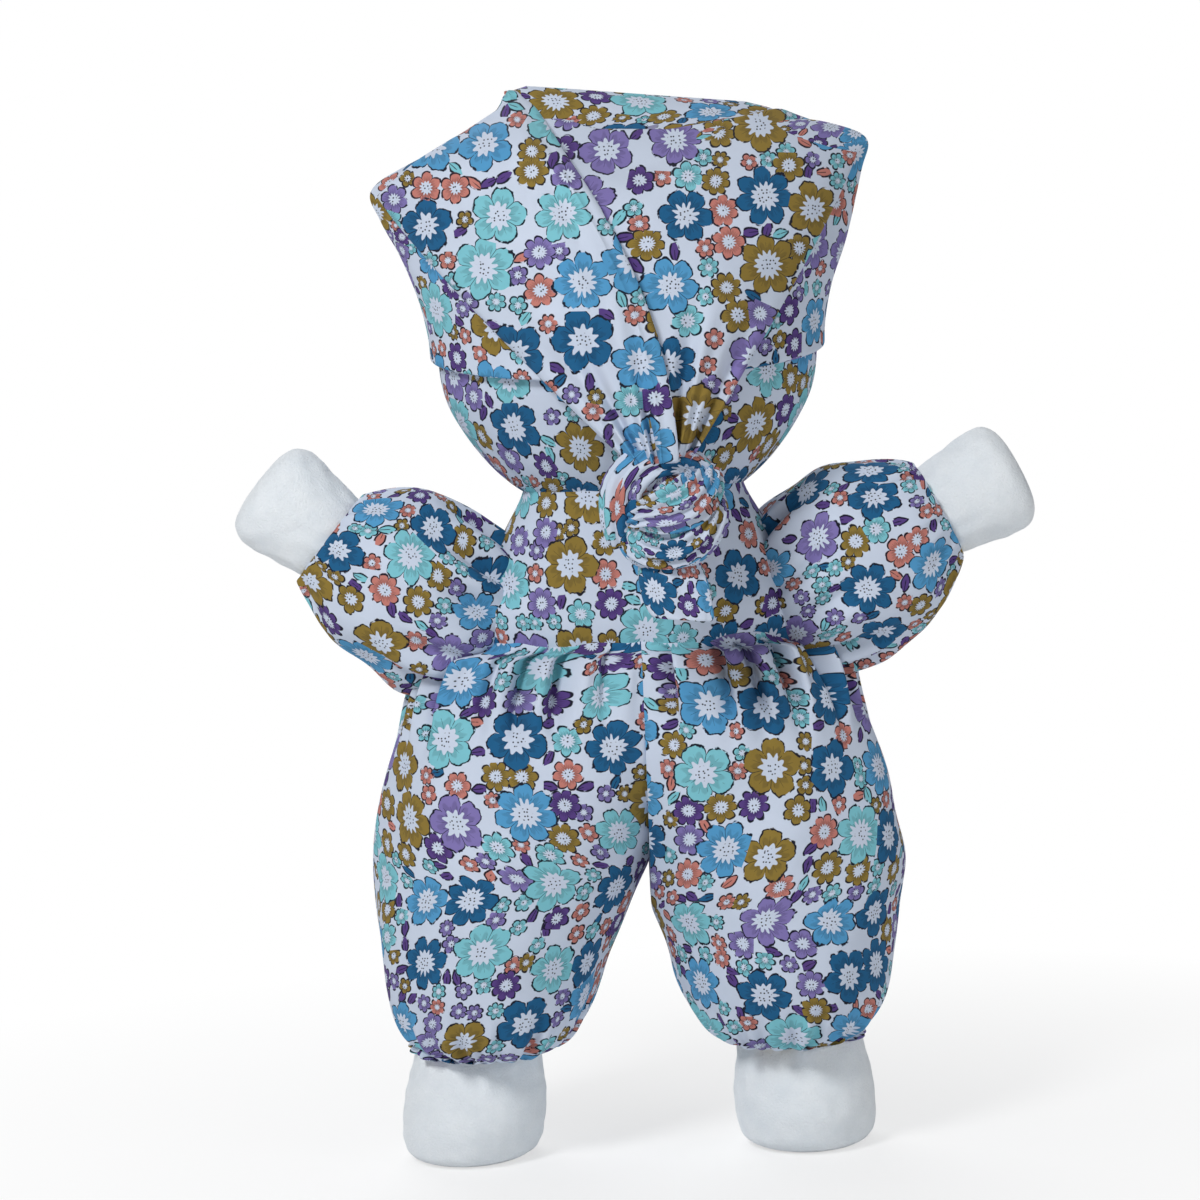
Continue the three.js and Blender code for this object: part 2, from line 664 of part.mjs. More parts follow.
const wraps = [];
for (const lean of [32, -38]) {
  const wrap = new THREE.TorusGeometry(0.3 * KNOT_WIDTH, 0.2 * KNOT_WIDTH, 7, 13);
  wrap.scale(1, KNOT_DEPTH / KNOT_WIDTH, 1);
  wrap.rotateY(rad(lean));
  wrap.translate(knot.x, knot.y, knot.z);
  wraps.push(solidOf(wrap));
}
const core = ellipsoid(knot, 0.38 * KNOT_WIDTH, 0.46 * KNOT_DEPTH, KNOT_HEIGHT / 2, 12);
const knotForm = core.add(wraps[0]).add(wraps[1]);
piece(capTail, "cap_tail_knot", knotForm.subtract(headForm(GAP)), PRINT);

const tailTop = knot.z - KNOT_HEIGHT / 2 - GAP;
const tailSwell = new Swell(
  [
    [0, 0.72, 0.9],
    [0.25, 0.95, 1],
    [0.6, 0.95, 0.85],
    [0.88, 0.62, 0.55],
    [1, 0.2, 0.2],
  ].map(([drop, wide, deep]) => ({
    along: drop * TAIL_LENGTH,
    wide: (wide * TAIL_WIDTH) / 2,
    deep: (deep * TAIL_THICK) / 2,
    side: TAIL_SLANT * drop,
  })),
);
const tailFrame = frameAlong(new THREE.Vector3(knot.x, knot.y, tailTop), DOWN);
piece(capTail, "cap_tail_end", loft(tailSwell.rings(tailFrame, 7, 12, 0)), PRINT);

// Limbs
for (const side of [1, -1]) {
  const name = side > 0 ? "left" : "right";
  const leg = turningGroup(torso, hipHinge);
  const ankle = turningGroup(leg, new THREE.Vector3(ankleMiddle(side), 0, ANKLE_HEIGHT));
  const arm = turningGroup(torso, armFrame(side).origin);
  const wrist = turningGroup(arm, handFrame(side).origin);
  const seamSide = beyond(new THREE.Vector3((side * GAP) / 2, 0, 0), X.clone().multiplyScalar(side));
  const legRoom = hipSpace.add(ankleSpace(side)).add(footForm(side, GAP));
  const trouser = trouserForm(side, 0).subtract(trouserForm(side, -COTTON)).subtract(legRoom);
  piece(leg, `${name}_trouser_leg`, trouser.intersect(seamSide), PRINT);
  const seamInset = beyond(
    new THREE.Vector3(side * (GAP / 2 + COTTON + GAP), 0, 0),
    X.clone().multiplyScalar(side),
  );
  const legFill = trouserForm(side, -COTTON - GAP).subtract(legRoom).intersect(seamInset);
  piece(leg, `${name}_leg_stuffing`, legFill, FIBRE);

  const soleCut = belowLevel(0);
  const footCuff = aboveLevel(ANKLE_HEIGHT + 0.35 * ANKLE_DEPTH);
  const foot = footForm(side, 0).subtract(footForm(side, -VELOUR)).subtract(soleCut).subtract(footCuff);
  piece(ankle, `${name}_foot`, foot, WHITE_VELOUR);
  piece(ankle, `${name}_foot_stuffing`, footForm(side, -VELOUR - GAP), FIBRE);

  const around = shoulderSpace(side)
    .add(trouserForm(side, GAP))
    .add(torsoForm(GAP))
    .add(headRoom)
    .add(wristSpace(side));
  const sleeve = sleeveForm(side, 0).subtract(sleeveForm(side, -COTTON)).subtract(around);
  piece(arm, `${name}_sleeve`, sleeve, PRINT);
  piece(arm, `${name}_arm_stuffing`, sleeveForm(side, -COTTON - GAP).subtract(around), FIBRE);

  const { origin, axis } = handFrame(side);
  const cuff = beyond(origin.clone().addScaledVector(axis, -0.3 * WRIST_WIDTH), axis.clone().negate());
  const hand = handForm(side, 0).subtract(handForm(side, -VELOUR)).subtract(cuff);
  piece(wrist, `${name}_hand`, hand, WHITE_VELOUR);
  piece(wrist, `${name}_hand_stuffing`, handForm(side, -VELOUR - GAP), FIBRE);
}

// Origin at the middle of the outline on the floor
const box = new THREE.Box3().setFromObject(doll, true);
const outline = box.getCenter(new THREE.Vector3());
torso.position.sub(new THREE.Vector3(outline.x, outline.y, box.min.z));

export default doll;
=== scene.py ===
# Looks of the elf comforter doll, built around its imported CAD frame. Sizes are in metres.
import json
import math

import bpy
import numpy as np
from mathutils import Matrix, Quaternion, Vector


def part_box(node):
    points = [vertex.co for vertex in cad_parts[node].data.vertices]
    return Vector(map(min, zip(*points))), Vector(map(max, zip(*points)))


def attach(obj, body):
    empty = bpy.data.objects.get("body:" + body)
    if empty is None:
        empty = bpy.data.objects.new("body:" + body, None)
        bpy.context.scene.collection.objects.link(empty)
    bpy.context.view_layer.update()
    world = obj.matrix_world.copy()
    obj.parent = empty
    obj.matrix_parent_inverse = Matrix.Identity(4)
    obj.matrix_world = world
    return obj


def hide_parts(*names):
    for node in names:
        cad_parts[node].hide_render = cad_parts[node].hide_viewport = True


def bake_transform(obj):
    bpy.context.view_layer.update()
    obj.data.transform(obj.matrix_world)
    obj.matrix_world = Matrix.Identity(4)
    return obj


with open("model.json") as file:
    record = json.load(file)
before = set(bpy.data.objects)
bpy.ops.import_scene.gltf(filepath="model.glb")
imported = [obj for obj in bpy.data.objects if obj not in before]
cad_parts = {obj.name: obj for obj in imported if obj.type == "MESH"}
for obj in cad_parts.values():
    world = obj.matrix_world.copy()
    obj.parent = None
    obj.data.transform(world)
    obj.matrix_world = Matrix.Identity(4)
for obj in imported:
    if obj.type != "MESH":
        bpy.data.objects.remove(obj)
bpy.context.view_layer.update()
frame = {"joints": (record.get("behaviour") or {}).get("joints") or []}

MM = 0.001
TINY = 1e-9
rng = np.random.default_rng(11)

# Places read from the frame
JOINT = {joint["name"]: np.array(joint["pos_m"]) for joint in frame["joints"]}
NECK = JOINT["neck_nod"]
HIP = JOINT["left_hip_swing"]
MIDDLE = np.array([NECK[0], NECK[1], 0.0])
X, Y, Z = np.eye(3)


def box(node):
    low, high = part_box(node)
    return np.array(low), np.array(high)


def size_of(node):
    low, high = box(node)
    return high - low


def centre_of(node):
    low, high = box(node)
    return (low + high) / 2


CROWN_LOW, CROWN_HIGH = box("cap_crown")
HEM_Z = CROWN_LOW[2]
EAR_WIDE = (CROWN_HIGH[0] - CROWN_LOW[0]) / 2
HEAD_WIDE = size_of("head_back_panel")[0] / 2
HEAD_DEEP = box("head_back_panel")[1][1] - MIDDLE[1]
HEAD_TOP = box("head_stuffing")[1][2] + 2 * MM
BODICE_WIDE = size_of("bodice_front")[0] / 2
BODICE_DEEP = MIDDLE[1] - box("bodice_front")[0][1]
TROUSER_LOW = box("left_trouser_leg")[0][2]
TROUSER_DEEP = size_of("left_trouser_leg")[1] / 2
KNOT = centre_of("cap_tail_knot")
KNOT_SIZE = size_of("cap_tail_knot")
TAIL_LOW, TAIL_HIGH = box("cap_tail_end")

# Sizes of the cloth forms
CLOTH = 1.2 * MM
WAIST_Z = HIP[2] - 9 * MM
NECK_WIDE = 29 * MM
NECK_DEEP = 23 * MM
LEG_WIDE = 69 * MM
LEG_LEAN = 6 * MM
LEG_FULL = {"left": 3.5 * MM, "right": 0.0}
WAIST_TIE = 0.03
PILE_LUMPS = 0.16 * MM
LUMP_LENGTH = 5 * MM
SEAM_DIP = 2.4 * MM
SLEEVE_HIGH = 25 * MM
HAND_LONG = 23 * MM
HAND_WIDE = 14.5 * MM
EAR_RISE = 55.5 * MM
EAR_DROP = 3.7 * MM
TOP_DROP = 3.2 * MM
TOP_SIDE = -5 * MM
TOP_LEAN = 4 * MM
HEM_SLOPE = math.radians(10.5)
FLAP_PUFF = 5 * MM
PLEAT = 4 * MM
HOLLOW = 6 * MM
PLEAT_OVERHANG = 4 * MM
# Farthest that the print is shifted on a panel
PRINT_SHIFT = 0.5

# Rows and columns of the cloth grids
BODICE_GRID = (48, 112)
HEAD_GRID = (64, 128)
CROWN_GRID = (72, 144)
FLAP_ROWS = 84
KNOT_GRID = (60, 78)
TAIL_GRID = (44, 64)
LEG_ROWS, LEG_COLUMNS, SEAM_COLUMNS = 96, 140, 12
FOOT_GRID = (56, 80)
SLEEVE_GRID = (64, 96)
HAND_GRID = (52, 72)
MOUTH_GRID = (25, 10)
EYE_SIDES = 28


# Shapes
def smooth(low, high, value):
    share = np.clip((value - low) / (high - low), 0, 1)
    return share * share * (3 - 2 * share)


def bell(value, width):
    return np.exp(-((value / width) ** 2))


def lerp(first, second, share):
    return first + (second - first) * share


def unit(vector):
    return vector / np.linalg.norm(vector)


def swell(stations, rows):
    """Rows of sizes on a smooth curve through the stations."""
    table = np.array(stations, float)
    padded = np.vstack([2 * table[0] - table[1], table, 2 * table[-1] - table[-2]])
    at = np.linspace(0, len(table) - 1, rows)
    first = np.minimum(at.astype(int), len(table) - 2)
    t = (at - first)[:, None]
    p, q, r, s = (padded[first + k] for k in range(4))
    return q + 0.5 * t * (r - p + t * (2 * p - 5 * q + 4 * r - s + t * (3 * (q - r) + s - p)))


def turns(sides):
    return np.linspace(0, 2 * np.pi, sides, endpoint=False)


def rings(sizes, sides, origin=MIDDLE, axis=Z, wide=X, deep=Y):
    """Grid of rings. Columns of sizes: along, wide, deep, side, back, pinch, tip."""
    full = np.zeros((len(sizes), 7))
    full[:, : sizes.shape[1]] = sizes
    along, half, depth, side, back, pinch, tip = (full[:, [k]] for k in range(7))
    cosine, sine = np.cos(turns(sides)), np.sin(turns(sides))
    bulge = np.sign(sine) * np.abs(sine) ** (1 + pinch)
    return (
        origin
        + (along + tip * cosine)[..., None] * axis
        + (side + half * cosine)[..., None] * wide
        + (back + depth * bulge)[..., None] * deep
    )


def outward(grid):
    away = grid - grid.mean(axis=1, keepdims=True)
    return away / np.maximum(np.linalg.norm(away, axis=2, keepdims=True), TINY)


def puckers(sides, counts):
    """Uneven gathers round a ring, between -1 and 1, with narrow valleys."""
    total = np.zeros(sides)
    for count in counts:
        total += 2 * np.abs(np.cos(count * turns(sides) / 2 + rng.uniform(0, np.pi))) - 1
    return total / len(counts)


def tucks(sides, count, width):
    """Narrow tucks at uneven places round a ring, each a valley beside a raised fold."""
    total = np.zeros(sides)
    places = (np.arange(count) + rng.uniform(-0.3, 0.3, count)) * sides / count
    for place, depth in zip(places, rng.uniform(0.55, 1.0, count)):
        gap = (np.arange(sides) - place + sides / 2) % sides - sides / 2
        total += depth * (0.6 * bell(gap - 2.2 * width, 1.7 * width) - bell(gap, width))
    return total


def gather(grid, *seams):
    """Folds of seams. Each seam gives the depth of its folds in each row, and their form round the ring."""
    for depth, folds in seams:
        grid = grid + (depth[:, None] * folds)[..., None] * outward(grid)
    return grid


def dent(grid, depth, length):
    """Broad uneven dents of slack cloth, about length across."""
    waves = np.zeros(grid.shape[:2])
    for _ in range(9):
        ahead = unit(rng.normal(size=3))
        wave = length * rng.uniform(0.7, 1.4)
        waves += np.sin(grid @ ahead * (2 * np.pi / wave) + rng.uniform(0, 2 * np.pi))
    return grid + (depth * waves / 3)[..., None] * outward(grid)


def widen(grid, factor):
    """The flat cut of a form: each ring with the fullness that the seam draws in."""
    middle = grid.mean(axis=1, keepdims=True)
    return middle + (grid - middle) * factor[:, None, None]


def each_column(values, grid):
    """A value for each row of a grid, repeated over its columns."""
    return np.repeat(values[:, None], grid.shape[1], axis=1)


# Cloth
def grid_faces(rows, columns, closed):
    faces = []
    for row in range(rows - 1):
        for column in range(columns if closed else columns - 1):
            following = (column + 1) % columns
            low, high = row * columns, (row + 1) * columns
            faces.append((low + column, low + following, high + following, high + column))
    return faces


def new_object(name, data):
    made = bpy.data.objects.new(name, data)
    bpy.context.scene.collection.objects.link(made)
    return made


def new_mesh(name, points, faces):
    mesh = bpy.data.meshes.new(name)
    mesh.from_pydata(points.reshape(-1, 3).tolist(), [], faces)
    return mesh


def stuffed(grid, flat, pinned, pressure, most):
    """The grid as cloth sewn at its pinned points and blown out by its filling, by no more than most."""
    rows, columns, _ = grid.shape
    mesh = new_mesh("cloth", grid, grid_faces(rows, columns, True))
    work = new_object("cloth", mesh)
    work.shape_key_add(name="sewn")
    cut = work.shape_key_add(name="flat")
    cut.data.foreach_set("co", flat.astype(np.float32).ravel())
    seams = work.vertex_groups.new(name="seams")
    seams.add(np.flatnonzero(pinned).tolist(), 1.0, "REPLACE")
    cloth = work.modifiers.new("cloth", "CLOTH")
    settings = cloth.settings
    settings.quality = 6
    settings.tension_stiffness = 20
    settings.compression_stiffness = 20
    settings.shear_stiffness = 8
    settings.bending_stiffness = 0.3
    settings.vertex_group_mass = seams.name
    settings.rest_shape_key = cut
    settings.use_pressure = True
    settings.uniform_pressure_force = pressure
    settings.effector_weights.gravity = 0
    cloth.collision_settings.use_collision = False
    last = 20
    cloth.point_cache.frame_start = 1
    cloth.point_cache.frame_end = last
    for step in range(1, last + 1):
        bpy.context.scene.frame_set(step)
    result = work.evaluated_get(bpy.context.evaluated_depsgraph_get())
    points = np.empty(grid.size, np.float32)
    result.data.vertices.foreach_get("co", points)
    moved = points.reshape(grid.shape).astype(float) - grid
    bpy.context.scene.frame_set(1)
    bpy.data.objects.remove(work)
    bpy.data.meshes.remove(mesh)
    length = np.linalg.norm(moved, axis=2, keepdims=True)
    limit = most * np.tanh(length / most)
    return grid + moved * np.where(length > TINY, limit / np.maximum(length, TINY), 0)


# Meshes
def lengths(grid, axis):
    steps = np.linalg.norm(np.diff(grid, axis=axis), axis=2)
    return np.concatenate([np.zeros_like(steps.take([0], axis)), np.cumsum(steps, axis)], axis)


def cloth_map(flat, first, last):
    """Places on the printed cloth, for a panel cut from columns first to last of a closed grid."""
    panel = flat.take(range(first, last + 1), axis=1, mode="wrap")
    across = lengths(panel, 1)
    middle = panel.shape[1] // 2
    across -= across[:, [middle]]
    along = each_column(lengths(panel, 0)[:, middle], panel)
    return np.stack([across, along], axis=2) + rng.uniform(0, PRINT_SHIFT, 2)


def two_panels(flat):
    """Cloth maps of a form sewn from two equal panels."""
    half = flat.shape[1] // 2
    return [cloth_map(flat, 0, half), cloth_map(flat, half, 2 * half)]


def make_piece(name, points, faces, corners, material):
    """A smooth mesh. Corners are the places on the cloth of the corners of each face."""
    mesh = new_mesh(name, points, faces)
    mesh.uv_layers.new(name="cloth").data.foreach_set("uv", np.array(corners, np.float32).ravel())
    mesh.polygons.foreach_set("use_smooth", np.ones(len(mesh.polygons), bool))
    mesh.materials.append(material)
    piece = new_object(name, mesh)
    level = piece.modifiers.new("smooth", "SUBSURF")
    level.levels = 1
    level.render_levels = 1
    return piece


def dress(piece, slot, *nodes, body=None, fill=None):
    """Hangs a piece on its body, if one is given, and hides the solids that it stands for. The slot, what
    it is made of, and the fill, its filling, are not used.
    """
    if body:
        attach(piece, body)
    if nodes:
        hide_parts(*nodes)


def zipped(columns):
    """Faces that close a ring by joining each side of it to the other."""
    half = columns // 2
    faces = [(0, 1, columns - 1)]
    for column in range(1, half - 1):
        across = columns - column
        faces.append((column, column + 1, across - 1, across))
    faces.append((half - 1, half, half + 1))
    return faces


def zipped_place(ring, edge, column):
    """Place on the cloth of a point of a zipped end, which goes on from the edge of the cloth."""
    across = len(ring) - column
    if column < across:
        return edge[column]
    return edge[across] + (0, np.linalg.norm(ring[column % len(ring)] - ring[across]))


def tube(name, grid, panels, material, ends=(True, True)):
    """Closed rings, zipped flat at each closed end. Panels are the cloth maps of runs of columns."""
    rows, columns, _ = grid.shape
    faces = grid_faces(rows, columns, True)
    corners = []
    for row in range(rows - 1):
        for panel in panels:
            for column in range(panel.shape[1] - 1):
                corners += [panel[row, column], panel[row, column + 1]]
                corners += [panel[row + 1, column + 1], panel[row + 1, column]]
    for row, closed in zip((0, rows - 1), ends):
        if closed:
            edge = np.concatenate([panel[row, :-1] for panel in panels])
            for face in zipped(columns):
                turned = face[::-1] if row == 0 else face
                faces.append(tuple(row * columns + column for column in turned))
                corners += [zipped_place(grid[row], edge, column) for column in turned]
    return make_piece(name, grid, faces, corners, material)


def sharpen(mesh, columns, sharp):
    """Keeps the edges that run along some columns of a grid sharp."""
    pairs = np.empty(len(mesh.edges) * 2, int)
    mesh.edges.foreach_get("vertices", pairs)
    place = pairs.reshape(-1, 2) % columns
    chosen = (place[:, 0] == place[:, 1]) & np.isin(place[:, 0], sharp)
    mesh.attributes.new("crease_edge", "FLOAT", "EDGE").data.foreach_set("value", chosen.astype(np.float32))
    mesh.attributes.new("sharp_edge", "BOOLEAN", "EDGE").data.foreach_set("value", chosen)


def panel_piece(name, grid, first, last, chart, material):
    """An open panel of columns first to last of a closed grid."""
    cut = grid.take(range(first, last + 1), axis=1, mode="wrap")
    rows, columns, _ = cut.shape
    faces = grid_faces(rows, columns, False)
    return make_piece(name, cut, faces, chart.reshape(-1, 2)[np.array(faces).ravel()], material)


# Materials
class Number:
    """A number that varies over the cloth: a shader socket that takes part in sums."""

    def __init__(self, graph, socket):
        self.graph = graph
        self.socket = socket

    def __add__(self, other):
        return self.graph.math("ADD", self, other)

    def __sub__(self, other):
        return self.graph.math("SUBTRACT", self, other)

    def __mul__(self, other):
        return self.graph.math("MULTIPLY", self, other)

    __radd__ = __add__
    __rmul__ = __mul__

    def __rsub__(self, other):
        return self.graph.math("SUBTRACT", other, self)


class Graph:
    """The shader nodes of a material or of the world."""

    def __init__(self, owner):
        owner.use_nodes = True
        self.owner = owner
        self.tree = owner.node_tree
        self.shader = self.tree.nodes.get("Principled BSDF")

    def put(self, socket, value):
        if isinstance(value, Number):
            value = value.socket
        if isinstance(value, bpy.types.NodeSocket):
            self.tree.links.new(value, socket)
        else:
            socket.default_value = value

    def fill(self, node, inputs):
        for name, value in inputs.items():
            self.put(node.inputs[name], value)

    def node(self, kind, inputs, **settings):
        made = self.tree.nodes.new(kind)
        for name, value in settings.items():
            setattr(made, name, value)
        self.fill(made, inputs)
        return made

    def math(self, operation, *values, clamp=False):
        made = self.node("ShaderNodeMath", dict(enumerate(values)), operation=operation, use_clamp=clamp)
        return Number(self, made.outputs[0])

    def vector(self, operation, *values):
        made = self.node("ShaderNodeVectorMath", dict(enumerate(values)), operation=operation)
        return made.outputs["Vector"]

    def distance(self, first, second):
        made = self.node("ShaderNodeVectorMath", {0: first, 1: second}, operation="DISTANCE")
        return Number(self, made.outputs["Value"])

    def parts(self, value):
        return [Number(self, out) for out in self.node("ShaderNodeSeparateXYZ", {0: value}).outputs]

    def below(self, value, limit, soft):
        """1 where value is under the limit, with a soft edge."""
        return self.math("MULTIPLY_ADD", limit - value, 0.5 / soft, 0.5, clamp=True)

    def noise(self, place, scale, detail=2.0):
        inputs = {"Vector": place, "Scale": scale, "Detail": detail}
        return Number(self, self.node("ShaderNodeTexNoise", inputs).outputs["Fac"])

    def mix(self, share, first, second):
        made = self.node("ShaderNodeMix", {0: share, 6: first, 7: second}, data_type="RGBA")
        return made.outputs[2]

    def choose(self, value, colours):
        """One of the colours, in equal shares of the value."""
        made = self.node("ShaderNodeValToRGB", {"Fac": value})
        ramp = made.color_ramp
        ramp.interpolation = "CONSTANT"
        while len(ramp.elements) < len(colours):
            ramp.elements.new(0.5)
        for index, colour in enumerate(colours):
            ramp.elements[index].position = index / len(colours)
            ramp.elements[index].color = colour
        return made.outputs["Color"]

    def bump(self, height, distance, strength=1.0):
        inputs = {"Height": height, "Distance": distance, "Strength": strength}
        self.put(self.shader.inputs["Normal"], self.node("ShaderNodeBump", inputs).outputs["Normal"])

    def seen(self):
        """1 for a ray that shows the background: from the camera, or by way of gloss or glass."""
        rays = self.node("ShaderNodeLightPath", {}).outputs
        straight = self.math("MAXIMUM", rays["Is Camera Ray"], rays["Is Glossy Ray"])
        return self.math("MAXIMUM", straight, rays["Is Transmission Ray"])

    def show(self, share, first, second, output):
        """Sends a mix of two shaders to the output."""
        mixed = self.node("ShaderNodeMixShader", {0: share, 1: first.outputs[0], 2: second.outputs[0]})
        self.fill(self.tree.nodes[output], {"Surface": mixed.outputs[0]})


def colour(code):
    """Linear colour of a hexadecimal screen colour."""
    shares = [int(code[k : k + 2], 16) / 255 for k in (0, 2, 4)]
    linear = [s / 12.92 if s <= 0.04045 else ((s + 0.055) / 1.055) ** 2.4 for s in shares]
    return (*linear, 1.0)


GROUND = colour("cfd9ea")
INK = colour("1c1d29")
TEAL, SKY, AQUA = colour("22608c"), colour("559ccb"), colour("80c6d2")
CORAL, OCHRE = colour("c67f74"), colour("8f7838")
LAVENDER, VIOLET = colour("8377b3"), colour("5a4284")

# Motifs of the print, largest first, in millimetres: spacing, radius, petals, notch between the petals,
# share of the pale eye, shift of the layout, colours
BLOSSOM = (18.4, 8.0, 5, 0.38, 0.42, 3.7, (TEAL, SKY, LAVENDER, AQUA, OCHRE, TEAL, SKY, AQUA))
DAISY = (9.3, 4.3, 6, 0.36, 0.38, 41.3, (OCHRE, AQUA, LAVENDER, CORAL, OCHRE, VIOLET, LAVENDER))
FLORET = (5.7, 2.6, 5, 0.4, 0.32, 77.9, (CORAL, AQUA, CORAL, LAVENDER, AQUA, OCHRE))
LEAF = (3.9, 2.6, 2, 0.0, 0.0, 113.1, (VIOLET, VIOLET, TEAL, VIOLET, VIOLET, CORAL, AQUA))
MOTIFS = (BLOSSOM, DAISY, FLORET, LEAF)
# How freely the motifs are scattered, and the shares of a larger and a smaller radius that keep them apart
SCATTER = 0.5
ROOM = (0.88, 0.5)
# The drawn line, outside and inside the edge of a motif, and one thread of the weave, in millimetres
LINE_OUT, LINE_IN = 0.34, 0.16
THREAD = 0.42


def motif_cell(graph, motif, place):
    """Middle of the motif nearest to a place, and three random numbers that belong to it."""
    spacing, shift = motif[0], motif[5]
    moved = graph.vector("ADD", place, (shift, 1.7 * shift, 0))
    inputs = {"Vector": moved, "Scale": 1 / spacing, "Randomness": SCATTER}
    cells = graph.node("ShaderNodeTexVoronoi", inputs, voronoi_dimensions="2D")
    middle = graph.vector("SUBTRACT", cells.outputs["Position"], (shift, 1.7 * shift, 0))
    return middle, graph.parts(cells.outputs["Color"])


def motif_shown(graph, index, middle):
    """1 where a motif has room between the larger ones."""
    shown = None
    for larger in range(index):
        other, _ = motif_cell(graph, MOTIFS[larger], middle)
        room = ROOM[0] * MOTIFS[larger][1] + ROOM[1] * MOTIFS[index][1]
        clear = 1 - graph.below(graph.distance(middle, other), room, 0.001)
        hidden_by = motif_shown(graph, larger, other)
        if hidden_by is not None:
            clear = 1 - (1 - clear) * hidden_by
        shown = clear if shown is None else shown * clear
    return shown


def draw_motif(graph, index, cloth, wobble, dashes, dots, under):
    """Paints one layer of motifs over the colour under it."""
    _, radius, petals, notch, eye, _, colours = MOTIFS[index]
    middle, chance = motif_cell(graph, MOTIFS[index], cloth)
    across, along, _ = graph.parts(graph.vector("SUBTRACT", cloth, middle))
    reach = graph.distance(cloth, middle) + wobble * (0.3 * radius)
    turn = graph.math("ARCTAN2", along, across) + chance[0] * (2 * math.pi)
    scale = 0.82 + chance[1] * 0.18
    paint = graph.choose(chance[2], colours)
    if eye:
        extra = graph.math("FLOOR", graph.math("FRACT", chance[1] * 7) * 3)
        half_turns = turn * (extra * 0.5 + petals / 2)
        wave = graph.math("ABSOLUTE", graph.math("COSINE", half_turns))
        lobe = graph.math("POWER", wave, 0.55)
        limit = scale * (radius * (1 - notch)) + scale * lobe * (radius * notch)
        crease = graph.below(wave * reach, 0.2, 0.1)
        stroke = graph.math("ABSOLUTE", graph.math("SINE", half_turns * 3)) * reach
        stroke = graph.below(stroke, 0.3, 0.12) * graph.below(reach, limit * 0.72, 0.15)
        ray = graph.math("COSINE", half_turns * 4) * (0.07 * radius)
        heart = graph.below(reach + ray, scale * (eye * radius), 0.1)
        paint = graph.mix(graph.below(reach + ray * 1.5, limit * 0.66, 0.3) * 0.22, paint, INK)
        paint = graph.mix(stroke * dashes * 0.8, paint, INK)
        paint = graph.mix(heart, paint, GROUND)
        paint = graph.mix(dots * graph.below(reach, 0.55 * eye * radius, 0.1), paint, INK)
        crease = crease * (1 - heart)
    else:
        side = graph.math("ABSOLUTE", graph.math("SINE", turn)) * reach
        front = graph.math("COSINE", turn) * reach
        taper = 1 - graph.math("POWER", front * (1 / radius), 2)
        limit = taper * scale * (0.46 * radius) - side + reach
        crease = graph.below(side, 0.1, 0.08) * graph.below(front, 0.3 * radius, 0.2)
    fill = graph.below(reach, limit, 0.07)
    inside = graph.below(reach, limit - LINE_IN, 0.08)
    line = graph.below(reach, limit + LINE_OUT, 0.08) * (1 - inside) * dashes
    paint = graph.mix(crease * dashes, paint, INK)
    paint = graph.mix(line, paint, INK)
    share = graph.math("MAXIMUM", fill, line)
    shown = motif_shown(graph, index, middle)
    return graph.mix(share if shown is None else share * shown, under, paint)


def printed_cotton():
    graph = Graph(bpy.data.materials.new("ditsy_print"))
    metres = graph.node("ShaderNodeUVMap", {}, uv_map="cloth").outputs["UV"]
    cloth = graph.vector("MULTIPLY", metres, (1000, 1000, 0))
    wobble = graph.noise(cloth, 0.42) - 0.5
    dashes = graph.below(graph.noise(cloth, 0.5, 1.0), 0.6, 0.02)
    inputs = {"Vector": cloth, "Scale": 0.95, "Randomness": 0.6}
    speckles = graph.node("ShaderNodeTexVoronoi", inputs, voronoi_dimensions="2D").outputs["Distance"]
    dots = graph.below(Number(graph, speckles), 0.2, 0.06)
    painted = GROUND
    for index in reversed(range(len(MOTIFS))):
        painted = draw_motif(graph, index, cloth, wobble, dashes, dots, painted)
    across, along, _ = graph.parts(cloth)
    warp = graph.math("SINE", across * (2 * math.pi / THREAD))
    weft = graph.math("SINE", along * (2 * math.pi / THREAD))
    graph.bump(warp * weft * 0.5 + graph.noise(cloth, 1.6) * 0.7, 0.06 * MM, 0.35)
    worn = graph.noise(cloth, 0.09) * 0.12
    finish = {
        "Base Color": graph.mix(worn, painted, INK),
        "Roughness": 0.82 + graph.noise(cloth, 0.8) * 0.14,
        "Specular IOR Level": 0.12,
        "Sheen Weight": 0.03,
        "Sheen Roughness": 0.5,
    }
    graph.fill(graph.shader, finish)
    return graph.owner


def white_velour():
    graph = Graph(bpy.data.materials.new("velour_pile"))
    place = graph.node("ShaderNodeTexCoord", {}).outputs["Object"]
    pile = graph.noise(place, 1900, 3.0)
    nap = graph.noise(place, 160, 4.0)
    tone = graph.mix(nap, colour("dde4ea"), colour("f6f9fb"))
    graph.bump(pile + nap * 0.8, 0.4 * MM, 0.7)
    finish = {
        "Base Color": graph.mix(pile * 0.35, tone, colour("cfd6dc")),
        "Roughness": 0.86 + pile * 0.12,
        "Specular IOR Level": 0.15,
        "Sheen Weight": 0.3,
        "Sheen Roughness": 0.4,
    }
    graph.fill(graph.shader, finish)
    return graph.owner


def floss(name, code, groove_shade):
    """Satin stitches side by side, with painted shade: each strand is darker in the groove beside it."""
    graph = Graph(bpy.data.materials.new(name))
    place = graph.node("ShaderNodeTexCoord", {}).outputs["Object"]
    across, _, up = graph.parts(place)
    strand = graph.math("SINE", (across + up * 0.25) * (2 * math.pi / (0.5 * MM)))
    # Painted shade: the colour turns to the darker code where the strand's bump is low, in the grooves
    # between strands.
    tone = graph.mix(strand * 0.5 + 0.5, colour(groove_shade), colour(code))
    graph.bump(strand, 0.15 * MM, 0.8)
    rough = 0.5 + graph.noise(place, 900) * 0.25
    graph.fill(graph.shader, {"Base Color": tone, "Roughness": rough, "Sheen Weight": 0.2})
    return graph.owner


